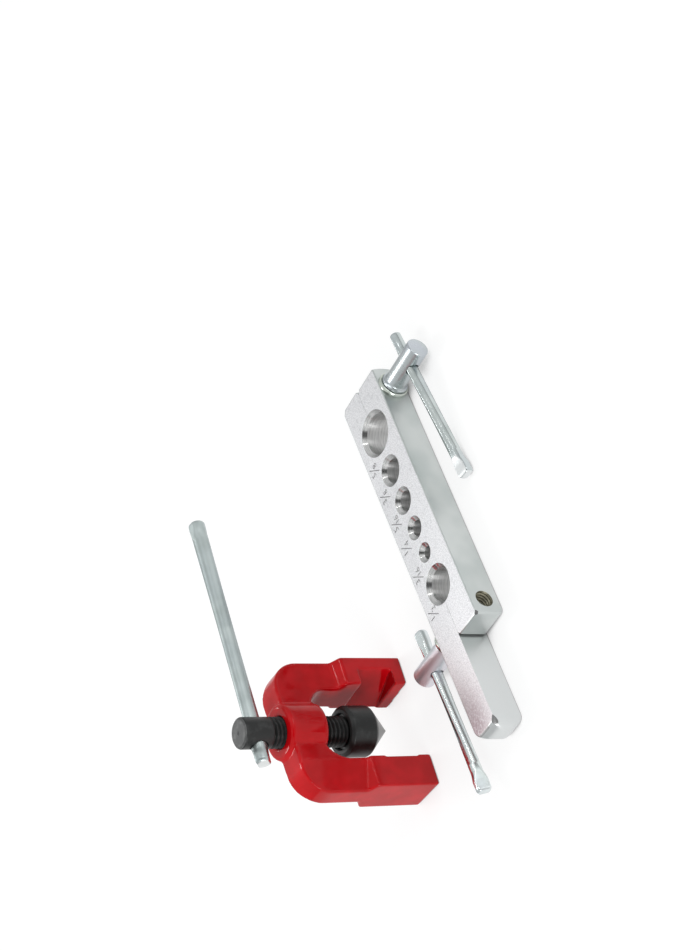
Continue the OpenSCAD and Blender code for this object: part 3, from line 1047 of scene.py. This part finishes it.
    def stamp_sizes(self, bar: Object) -> None:
        """Stamps the tube sizes into the front face.

        Args:
            bar: The long half.
        """
        for size, from_end in zip(self.sizes, self.size_from_end):
            place = moved(self.end_x + from_end, self.size_y, self.thick) @ turned(180, "Z")
            for punch in self.stamp(size):
                cut_away(bar, punch, place)

    def on_slash(self, point: Vector) -> bool:
        """Whether a point lies in one of the stamped slashes.

        Args:
            point: A point of the front face.

        Returns:
            True in a slash.
        """
        turn = radians(self.slash_turn)
        past, aside = self.slash_reach
        for from_end in self.size_from_end:
            x, y = point.x - self.end_x - from_end, point.y - self.size_y
            beside = abs(x * sin(turn) - y * cos(turn))
            if beside < aside and hypot(x, y) < self.slash_len / 2 + past:
                return True
        return False

    def kind(self, c: Vector, n: Vector, tapped_x: float) -> BarFace:
        """Which finish a face of a half has.

        Args:
            c: The face's centre.
            n: Its normal.
            tapped_x: Place of the half's tapped hole.

        Returns:
            The finish.
        """
        front = c.z > self.thick - self.level
        # The chamfer at the short half's free end is painted dark, as painted shade of the groove beneath it.
        if min(n.x, -n.y) > self.slanted and c.x > self.lower_x and c.y > self.parting_y:
            return BarFace.DARK
        off = max(abs(c.x - tapped_x), abs(c.z - self.mid_z))
        if off < self.tap_reach and abs(n.y) < self.tap_facing:
            return BarFace.TAPPED
        if front:
            return BarFace.BLASTED
        for from_end, diameter in zip(self.tube_from_end, self.tube_d):
            off = hypot(c.x - self.end_x - from_end, c.y - self.parting_y)
            if off < diameter / 2 + self.flare + self.hole_reach and abs(n.y) < self.seam_facing:
                return BarFace.FLARED if n.z > self.flare_facing else BarFace.BORED
        stamped = c.z > self.thick - 2 * self.stamp_depth and n.z > self.stamp_facing
        if stamped and abs(c.y - self.size_y) < self.size_reach and abs(c.y) < self.size_edge:
            return BarFace.DARK if self.on_slash(c) else BarFace.DIGIT
        return BarFace.SATIN

    def nick(self, bar: Object, depth: float) -> None:
        """Takes off the corner of a free end, which is knocked flat, and paints the new facet dark as painted
        shade.

        Args:
            bar: The half.
            depth: How much of the corner goes.
        """
        mesh = bmesh.new()
        mesh.from_mesh(bar.data)
        way = Vector(self.nick_way).normalized()
        level = max(v.co.dot(way) for v in mesh.verts) - depth
        parts = mesh.verts[:] + mesh.edges[:] + mesh.faces[:]
        cut = bmesh.ops.bisect_plane(mesh, geom=parts, plane_co=way * level, plane_no=way, clear_outer=True)
        rim = [part for part in cut["geom_cut"] if isinstance(part, bmesh.types.BMEdge)]
        # the new facet is painted dark, as painted shade
        bmesh.ops.edgeloop_fill(mesh, edges=rim, mat_nr=BarFace.DARK)
        bmesh.ops.recalc_face_normals(mesh, faces=mesh.faces[:])
        mesh.to_mesh(bar.data)
        mesh.free()

    def keep_flat(self, bar: Object) -> None:
        """Makes the rims of the front and the back sharp, so that these faces shade as flat.

        Args:
            bar: The half.
        """
        flat = [face for face in bar.data.polygons if abs(face.normal.z) > self.flat_facing]
        rims = {key for face in flat for key in face.edge_keys}
        for edge in bar.data.edges:
            if edge.key in rims:
                edge.use_edge_sharp = True

    def dress(self, bar: Object, tapped_x: float, nick: float, body: str, node: str) -> None:
        """Sorts a half's faces by finish, knocks its corner flat and settles it.

        Args:
            bar: The half.
            tapped_x: Place of its tapped hole.
            nick: How much of its corner goes.
            body: The CAD body that it rides on.
            node: The CAD node that it stands for.
        """
        for face in bar.data.polygons:
            face.material_index = self.kind(face.center, face.normal, tapped_x)
        self.nick(bar, nick)
        smooth_by_angle(bar, self.smooth)
        self.keep_flat(bar)
        f = self.finishes
        worn = (f.blasted, f.satin, f.bored, f.stamp, f.tapped, f.digit, f.flared)
        settle(bar, Matrix.Identity(4), body, node, worn)

    def build(self) -> None:
        """Builds and dresses both halves."""
        end, c, o = self.end_x, self.end_chamfer, self.outer_chamfer
        inner, outer, tail = self.half_w / 2, self.long_outer, end + self.long_len
        a, b = self.tail_corner, self.tail_inner
        plan = [(end, inner - c), (end, outer + o), (end + o, outer)]
        plan += arc((tail - a, outer + a), a, 270, 360, 20)
        plan += arc((tail - b, inner - b), b, 0, 90, 10)
        plan += [(end + c, inner)]
        bar = self.blank(
            plan, inner, lambda z: self.crown(z, self.tail_crown, self.tail_round), self.tail_power
        )
        self.cut_holes(bar, outer, self.lower_x, self.upper_x)
        self.stamp_sizes(bar)
        self.dress(bar, self.upper_x, self.tail_nick, "long_half", "long_bar")

        inner, outer, h = self.short_inner - self.seam_closed, self.short_outer, c / 2
        stop, f, start = end + self.short_len, self.free_chamfer, end + self.end_step
        plan = [(start, inner + c), (start + c, inner), (stop - f, inner), (stop, inner + f)]
        plan += [(stop, outer - h), (stop - h, outer), (start + h, outer), (start, outer - h)]
        bar = self.blank(
            plan, inner, lambda z: max(c - z, 0.0) if z < self.mid_z else self.rounding(z, self.end_round)
        )
        self.cut_holes(bar, inner, self.upper_x, self.lower_x)
        self.dress(bar, self.lower_x, self.short_nick, "short_half", "short_bar")


@dataclass
class TommyBar:
    """A round cross bar with flattened ends, along X about the origin."""

    diameter: float
    length: float
    flat_len: float
    flat_w: float
    flat_t: float
    struck_len: float
    turns: Point2
    bright_end: bool
    near_share: float = 0.4
    nose: float = 1.5
    nose_narrow: float = 0.42
    nose_steps: int = 8
    steps: int = 24
    sides: int = 64
    smooth: float = 50.0
    struck_facing: float = 0.8

    def section(self, x: float, shrink: float) -> list[Point3]:
        """One ring of points round the bar.

        Args:
            x: Place of the ring.
            shrink: Factor that rounds the bar's ends.

        Returns:
            The ring's points.
        """
        to_end = self.length / 2 - abs(x)
        share = 1.0 if x > 0 else self.near_share
        thin = share * ease((self.struck_len - to_end) / (self.struck_len - 0.5 * self.flat_len))
        wide = share * ease((self.flat_len - to_end) / (0.5 * self.flat_len))
        r = (self.diameter + (self.flat_w - self.diameter) * wide) / 2 * shrink
        limit = min(self.diameter + (self.flat_t - self.diameter) * thin, 2 * r) / 2 * (0.4 + 0.6 * shrink)
        turn = radians(self.turns[0] if x < 0 else self.turns[1])
        ring: list[Point3] = []
        for i in range(self.sides):
            a = TAU * i / self.sides
            y, z = r * cos(a), min(max(r * sin(a), -limit), limit)
            ring.append((x, y * cos(turn) - z * sin(turn), y * sin(turn) + z * cos(turn)))
        return ring

    def brighten(self, obj: Object) -> None:
        """Gives the struck faces of the far end the second finish.

        Args:
            obj: The bar.
        """
        turn = radians(self.turns[1])
        across = Vector((0, -sin(turn), cos(turn)))
        for face in obj.data.polygons:
            struck = max(abs(face.normal.dot(across)), face.normal.x) > self.struck_facing
            face.material_index = int(struck and face.center.x > self.length / 2 - self.flat_len)

    def build(self) -> Object:
        """Builds the bar.

        Returns:
            The bar as a closed mesh.
        """
        end, nose, reach = self.length / 2, self.nose, self.struck_len - self.nose
        half = [(end - self.struck_len + i * reach / self.steps, 1.0) for i in range(self.steps)]
        for i in range(self.nose_steps + 1):
            a = i / self.nose_steps * pi / 2
            half.append((end - nose * (1 - sin(a)), 1 - self.nose_narrow * (1 - cos(a))))
        rings = [self.section(-x, s) for x, s in reversed(half)] + [self.section(x, s) for x, s in half]
        obj = loft("tommy_bar", rings)
        smooth_by_angle(obj, self.smooth)
        if self.bright_end:
            self.brighten(obj)
        return obj


@dataclass
class ClampScrews:
    """The two T-handle screws that close the bar, with their washers and tommy bars."""

    bar: ClampBar
    diameter: float = 6.35
    pitch: float = 1.27
    thread_depth: float = 0.65
    threaded: float = 8.5
    head_d: float = 8.8
    head_len: float = 20.7
    hole_drop: float = 8.3
    hole_mouth: Point2 = (1.0, 0.75)
    collar_d: float = 10.6
    collar_h: float = 1.3
    washer_d: float = 12.2
    washer_t: float = 1.6
    washer_clear: float = 0.1
    seat_r: float = 5.55
    rod_d: float = 4.76
    rod_clear: float = 0.1
    rod_len: float = 71.0
    flat_len: float = 8.5
    flat_w: float = 5.9
    flat_t: float = 3.4
    struck_len: float = 11.5
    upper_gap: float = 1.1
    upper_turn: float = 3.9
    lower_gap: float = 2.5
    upper_flats: Point2 = (40.0, -6.0)
    lower_flats: Point2 = (-8.0, -70.0)
    sides: int = 60

    def screw(self, finish: Material) -> Object:
        """One clamp screw, with Z pointing out of the bar and 0 at the bar's face.

        Args:
            finish: Its material.

        Returns:
            The closed screw.
        """
        r, w, h, n = self.diameter / 2, self.washer_t, self.head_d / 2, self.sides
        tip = -(self.bar.half_w + self.bar.gap + self.threaded)
        run, top = tip + self.threaded - 1.0, w + self.head_len
        rise, step = self.collar_d / 2, w + self.collar_h
        tube = self.bar.thread.tube(r, self.thread_depth, self.pitch, (tip + 0.6, run), finish, n)
        low = lathe("tip", [(0, tip), (r - 0.8, tip), (r - 0.15, tip + 0.5), (r, tip + 0.6)], n)
        profile: list[Point2] = [(r, run), (r, w), (rise - 0.25, w), (rise, w + 0.25)]
        profile += [(rise, step - 0.35), (rise - 0.3, step - 0.05), (h + 0.45, step)]
        profile += [(h + 0.12, step + 0.12), (h, step + 0.5), (h, top - 0.5)]
        profile += [(h - 0.12, top - 0.18), (h - 0.45, top), (0.6, top - 0.04), (0.0, top - 0.35)]
        weld_into(tube, (low, lathe("head", profile, n)))
        cross_hole(tube, top - self.hole_drop, h, self.rod_d / 2 + self.rod_clear, self.hole_mouth, 48)
        smooth_by_angle(tube)
        return tube

    def washer(self) -> Object:
        """One washer, on the bar's face at height 0.

        Returns:
            The closed washer.
        """
        r, t, hole = self.washer_d / 2, self.washer_t, self.diameter / 2 + self.washer_clear
        profile: list[Point2] = [(hole, 0.0), (r - 0.2, 0.0), (r, 0.2)]
        profile += [(r, t - 0.45), (r - 0.12, t - 0.15), (r - 0.4, t)]
        profile += [(self.seat_r, t), (self.seat_r - 0.1, t - 0.12), (hole, t - 0.12), (hole, 0.0)]
        obj = lathe("washer", profile, 72)
        face_outwards(obj)
        smooth_by_angle(obj)
        return obj

    def rod(self, flats: Point2, bright_end: bool) -> Object:
        """One tommy bar whose ends were struck at the given turns."""
        flat = (self.flat_len, self.flat_w, self.flat_t, self.struck_len)
        return TommyBar(self.rod_d, self.rod_len, *flat, flats, bright_end).build()

    def build(self) -> None:
        """Builds and dresses both screws."""
        b, f = self.bar, self.bar.finishes
        out = self.washer_t + self.head_len - self.hole_drop
        reach = self.rod_len / 2 - self.flat_len - self.head_d / 2
        face = moved(b.upper_x, b.short_outer, b.mid_z) @ turned(-90, "X")
        place = face @ turned(self.upper_turn, "Z")
        screw = self.screw(f.upper_head)
        settle(screw, place, "upper_clamp", "upper_clamp_screw", (f.upper_head,))
        settle(self.washer(), face, "short_half", "upper_clamp_washer", (f.washer,))
        place = moved(b.upper_x, b.short_outer + out, b.mid_z) @ turned(self.upper_turn, "Y")
        place = place @ moved(reach - self.upper_gap, 0, 0)
        rod = self.rod(self.upper_flats, True)
        settle(rod, place, "upper_tommy", "upper_tommy_bar", (f.upper_rod, f.struck))
        face = moved(b.lower_x, b.long_outer, b.mid_z) @ turned(90, "X")
        screw = self.screw(f.lower_head)
        settle(screw, face, "lower_clamp", "lower_clamp_screw", (f.lower_head,))
        settle(self.washer(), face, "long_half", "lower_clamp_washer", (f.washer,))
        place = moved(b.lower_x + reach - self.lower_gap, b.long_outer - out, b.mid_z)
        rod = self.rod(self.lower_flats, False)
        settle(rod, place, "lower_tommy", "lower_tommy_bar", (f.lower_rod,))


@dataclass
class Yoke:
    """The red yoke, its feed screw with the tommy bar, and the cone."""

    finishes: Finishes
    thread: HelicalThread
    axis_x: float = 38.4
    axis_y: float = -57.1
    turn: float = -4.7
    feed_d: float = 11.9
    feed_pitch: float = 1.75
    feed_sides: int = 84
    thread_depth: float = 0.95
    thread_bottom: float = 29.7
    head_bottom: float = 62.0
    feed_top: float = 73.8
    end_face_t: float = 0.7
    hole_drop: float = 7.1
    hole_mouth: Point2 = (1.1, 1.1)
    spigot_d: float = 8.0
    spigot_z: float = 23.9
    ring_z: float = 26.4
    ring_r: float = 0.7
    cone_d: float = 19.5
    cone_tip: float = 10.1
    cone_rim: float = 19.85
    cone_top: float = 30.5
    recess_r: float = 6.95
    recess_z: float = 28.9
    ball_z: float = 21.62
    ball_r: float = 2.28
    socket_r: float = 4.1
    ground_r: float = 8.2
    lever_d: float = 6.2
    lever_clear: float = 0.1
    lever_len: float = 106.5
    lever_flat_len: float = 6.2
    lever_flat_w: float = 7.0
    lever_flat_t: float = 5.0
    lever_struck_len: float = 8.0
    lever_flats: Point2 = (-7.0, 39.0)
    lever_gap: float = 0.9
    foot_h: float = 26.4
    foot_t: float = 16.9
    foot_in: float = 15.35
    slot_depth: float = 6.1
    lip_t: float = 5.0
    slot_edge: float = 0.3
    shoulder_h: float = 2.8
    voxel: float = 0.42
    smoothing: int = 10
    foot_soft: float = 0.5

    @property
    def place(self) -> Matrix:
        """The yoke's place beside the bar."""
        return moved(self.axis_x, self.axis_y, 0) @ turned(self.turn, "Z")

    def casting(self) -> Object:
        """The yoke's casting: the CAD solid with its edges rounded as a foundry leaves them.

        Returns:
            The casting in the yoke's own frame.
        """
        mesh = frame["nodes"]["yoke_frame"].data.copy()
        obj = new_object("casting", mesh)
        mesh.transform(self.place.inverted() @ Matrix.Scale(1 / MM, 4))
        face_outwards(obj, 1e-3)
        remesh = obj.modifiers.new("remesh", "REMESH")
        remesh.mode = "VOXEL"
        remesh.voxel_size = self.voxel
        bake(obj)
        group = obj.vertex_groups.new(name="soft")
        for v in obj.data.vertices:
            rise = ease((v.co.z - self.foot_h) / self.shoulder_h)
            group.add([v.index], self.foot_soft + (1 - self.foot_soft) * rise, "REPLACE")
        soft = obj.modifiers.new("soft", "SMOOTH")
        soft.factor = 0.5
        soft.iterations = self.smoothing
        soft.vertex_group = group.name
        bake(obj)
        obj.vertex_groups.clear()
        return obj

    def in_slot(self, point: Vector) -> bool:
        """Whether a point of the casting lies at the bottom of one of the two slots.

        Args:
            point: A point in the yoke's own frame.

        Returns:
            True at the bottom of a slot.
        """
        e, into = self.slot_edge, abs(point.x) - self.foot_in
        level = abs(point.z - self.lip_t) < 2 * e
        return level and -e < into < self.slot_depth + e and abs(point.y) < self.foot_t / 2

    def build_casting(self) -> None:
        """Builds and dresses the casting."""
        obj, f = self.casting(), self.finishes
        obj.data.shade_smooth()
        for face in obj.data.polygons:
            # faces at the bottom of the slots take the darker enamel, as painted shade
            face.material_index = int(face.normal.z > 0.5 and self.in_slot(face.center))
        settle(obj, self.place, "yoke", "yoke_frame", (f.red, f.red_slot_shade))

    def build_screw(self) -> None:
        """Builds and dresses the feed screw."""
        r, top, neck, n = self.feed_d / 2, self.feed_top, self.head_bottom, self.feed_sides
        s, g, end, foot = self.spigot_d / 2, self.ring_r, self.spigot_z, self.thread_bottom
        f = self.finishes
        tube = self.thread.tube(r, self.thread_depth, self.feed_pitch, (foot + 0.5, neck), f.black, n)
        turns = [radians(a) for a in range(20, 161, 20)]
        low: list[Point2] = [(0, end), (s - 0.3, end), (s, end + 0.3)]
        low += [(s - g * sin(t), self.ring_z - g * cos(t)) for t in turns]
        low += [(s, foot), (r - 0.5, foot), (r, foot + 0.5)]
        high: list[Point2] = [(r, neck), (r, top - 1.0), (r - 0.2, top - 0.55)]
        high += [(r - 0.9, top), (0.9, top), (0, top - 0.4)]
        weld_into(tube, (lathe("spigot", low, n), lathe("head", high, n)))
        cross_hole(tube, top - self.hole_drop, r, self.lever_d / 2 + self.lever_clear, self.hole_mouth, 60)
        # the end face gets the lighter copy of the black oxide
        for face in tube.data.polygons:
            face.material_index = int(face.center.z > top - self.end_face_t)
        smooth_by_angle(tube)
        settle(tube, self.place, "feed", "feed_screw", (f.black, f.black_end))

    def build_cone(self) -> None:
        """Builds and dresses the cone."""
        r, tip, rim, top = self.cone_d / 2, self.cone_tip, self.cone_rim, self.cone_top
        g, k, s, z, b = self.ground_r, self.recess_r, self.socket_r, self.ball_z, self.ball_r
        profile: list[Point2] = [(0, tip), (g, tip + g), (r - 0.2, rim - 0.2), (r, rim + 0.25)]
        profile += [(r, top - 1.4), (r - 0.15, top - 1.05), (r - 1.0, top - 0.2), (r - 1.4, top)]
        profile += [(k + 0.3, top), (k, top - 0.3), (k, self.recess_z), (s, self.recess_z), (s, z), (b, z)]
        turns = [radians(a) for a in range(15, 90, 15)]
        profile += [(b * cos(t), z - b * sin(t)) for t in turns]
        profile += [(0, z - b)]
        obj = lathe("cone", profile, 96)
        face_outwards(obj)
        for face in obj.data.polygons:
            face.material_index = int(face.center.z < tip + g)
        smooth_by_angle(obj)
        worn = (self.finishes.black, self.finishes.ground)
        settle(obj, self.place, "cone", "flaring_cone", worn)

    def build_lever(self) -> None:
        """Builds and dresses the feed screw's tommy bar."""
        flat = (self.lever_flat_len, self.lever_flat_w, self.lever_flat_t, self.lever_struck_len)
        lever = TommyBar(self.lever_d, self.lever_len, *flat, self.lever_flats, True).build()
        reach = self.lever_len / 2 - self.lever_flat_len - self.feed_d / 2
        place = self.place @ moved(self.lever_gap - reach, 0, self.feed_top - self.hole_drop)
        worn = (self.finishes.lever, self.finishes.struck)
        settle(lever, place, "feed_tommy", "feed_tommy_bar", worn)

    def build(self) -> None:
        """Builds and dresses all four pieces."""
        self.build_casting()
        self.build_screw()
        self.build_cone()
        self.build_lever()


# Stage


@dataclass(frozen=True)
class Lamp:
    """A round lamp that shines at the origin, in metres and watts."""

    name: str
    at: Point3
    size: float
    watts: float

    def light(self) -> None:
        """Adds the lamp to the scene."""
        data = bpy.data.lights.new(self.name, "AREA")
        data.shape = "DISK"
        data.size = self.size
        data.energy = self.watts
        turn = Vector(self.at).to_track_quat("Z", "Y").to_matrix().to_4x4()
        new_object(self.name, data).matrix_world = moved(*self.at) @ turn


@dataclass
class Studio:
    """The pale floor, the soft lights and the camera, in metres."""

    camera_at: Point3 = (0.42344, 0.51059, 0.44456)
    right: Point3 = (0.30561, 0.42127, -0.85389)
    up: Point3 = (-0.75922, 0.64903, 0.04847)
    back: Point3 = (0.57462, 0.63348, 0.51818)
    focal_px: float = 2119.04
    frame_px: float = 951.0
    sensor: float = 36.0
    floor_half: float = 3.0
    floor_drop: float = 0.0004
    floor_colour: Colour = (0.32, 0.32, 0.32)
    floor_glow: float = 0.74
    shadow_reach: float = 0.012
    shadow_full: float = 0.45
    sky_low: Colour = (0.40, 0.405, 0.41)
    sky_high: Colour = (0.72, 0.73, 0.73)
    sky_band: Point2 = (-0.05, 0.55)
    patch_colour: Colour = (0.02, 0.02, 0.02)
    dark_patches: tuple[Point3, ...] = ((0.25, 0.45, 0.85), (0.5, 0.6, 0.6))
    dark_angles: Point2 = (18.0, 9.0)
    lamps: tuple[Lamp, ...] = (
        Lamp("key", (-0.22, -0.63, 0.74), 0.3, 1.6),
        Lamp("side", (0.95, 0.12, 0.28), 0.5, 3.4),
        Lamp("back", (-0.12, 0.95, 0.3), 0.4, 1.2),
        Lamp("glint_front", (-0.58, -0.67, 0.5), 0.07, 0.12),
        Lamp("glint_over", (-0.41, 0.33, 0.85), 0.08, 0.16),
        Lamp("glint_behind", (-0.33, 0.55, 0.76), 0.08, 0.16),
    )

    def camera(self) -> None:
        """Puts the camera where the photograph was taken."""
        data = bpy.data.cameras.new("camera")
        data.sensor_width = self.sensor
        data.lens = self.focal_px / self.frame_px * self.sensor
        data.clip_start = 0.01
        obj = new_object("camera", data)
        turn = Matrix((self.right, self.up, self.back)).transposed().to_4x4()
        obj.matrix_world = moved(*self.camera_at) @ turn
        bpy.context.scene.camera = obj

    def floor(self) -> None:
        """A plain pale floor that stays white and keeps a faint shadow."""
        h, z = self.floor_half, -self.floor_drop
        obj = mesh_object("floor", [(-h, -h, z), (h, -h, z), (h, h, z), (-h, h, z)], [(0, 1, 2, 3)])
        material = bpy.data.materials.new("floor")
        material.use_nodes = True
        material.node_tree.nodes.clear()
        c = NodeChain(material.node_tree)
        path = c.node("ShaderNodeLightPath").outputs
        shown = c.math("ADD", path["Is Camera Ray"], path["Is Glossy Ray"])
        shown = c.math("ADD", shown, path["Is Transmission Ray"], clamp=True)
        open_sky = c.node("ShaderNodeAmbientOcclusion", {"Distance": self.shadow_reach})
        lit = c.math("MULTIPLY", shown, c.ramp(open_sky.outputs["AO"], 0.0, self.shadow_full))
        strength = c.math("MULTIPLY", lit, self.floor_glow)
        matt = c.node("ShaderNodeBsdfDiffuse", {"Color": self.floor_colour})
        glow = c.node("ShaderNodeEmission", {"Color": (1, 1, 1), "Strength": strength})
        both = c.node("ShaderNodeAddShader", {0: matt.outputs[0], 1: glow.outputs[0]})
        c.node("ShaderNodeOutputMaterial", {0: both.outputs[0]})
        obj.data.materials.append(material)

    def sky(self) -> None:
        """A pale sky that is brighter overhead, with dark patches for the steel to reflect."""
        world = bpy.data.worlds.new("sky")
        bpy.context.scene.world = world
        world.use_nodes = True
        world.node_tree.nodes.clear()
        c = NodeChain(world.node_tree)
        way = c.node("ShaderNodeTexCoord").outputs["Generated"]
        edges = [cos(radians(a)) for a in self.dark_angles]
        shade = c.mix(c.ramp(c.split(way)[2], *self.sky_band), self.sky_low, self.sky_high)
        for patch in self.dark_patches:
            given = {0: way, 1: Vector(patch).normalized()}
            towards = c.node("ShaderNodeVectorMath", given, operation="DOT_PRODUCT").outputs["Value"]
            shade = c.mix(c.ramp(towards, *edges), shade, self.patch_colour)
        sky = c.node("ShaderNodeBackground", {"Color": shade, "Strength": 1.0})
        c.node("ShaderNodeOutputWorld", {0: sky.outputs[0]})

    def build(self) -> None:
        """Sets the whole stage."""
        self.camera()
        self.floor()
        for lamp in self.lamps:
            lamp.light()
        self.sky()
        bpy.context.scene.view_settings.view_transform = "Standard"


def clear_startup() -> None:
    """Removes what Blender's startup file put into the scene."""
    for obj in list(bpy.context.scene.objects):
        if "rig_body" not in obj and obj not in frame["bodies"].values():
            bpy.data.objects.remove(obj)


def dress_inner(finishes: Finishes) -> None:
    """Gives the pieces inside the bar and the cone their finish.

    Args:
        finishes: The tool's materials.
    """
    for node in ("front_guide_pin", "rear_guide_pin", "cone_retaining_ring", "thrust_ball"):
        obj = frame["nodes"][node]
        obj.data.materials.clear()
        obj.data.materials.append(finishes.ground)


def main() -> None:
    """Builds every sub-assembly, dresses it and sets the stage."""
    logging.basicConfig(level=logging.INFO, format="%(name)s: %(message)s")
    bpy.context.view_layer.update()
    clear_startup()
    finishes = Finishes()
    thread = HelicalThread()
    bar = ClampBar(finishes, thread)
    bar.build()
    ClampScrews(bar).build()
    Yoke(finishes, thread).build()
    dress_inner(finishes)
    Studio().build()


if __name__ == "__main__":
    main()
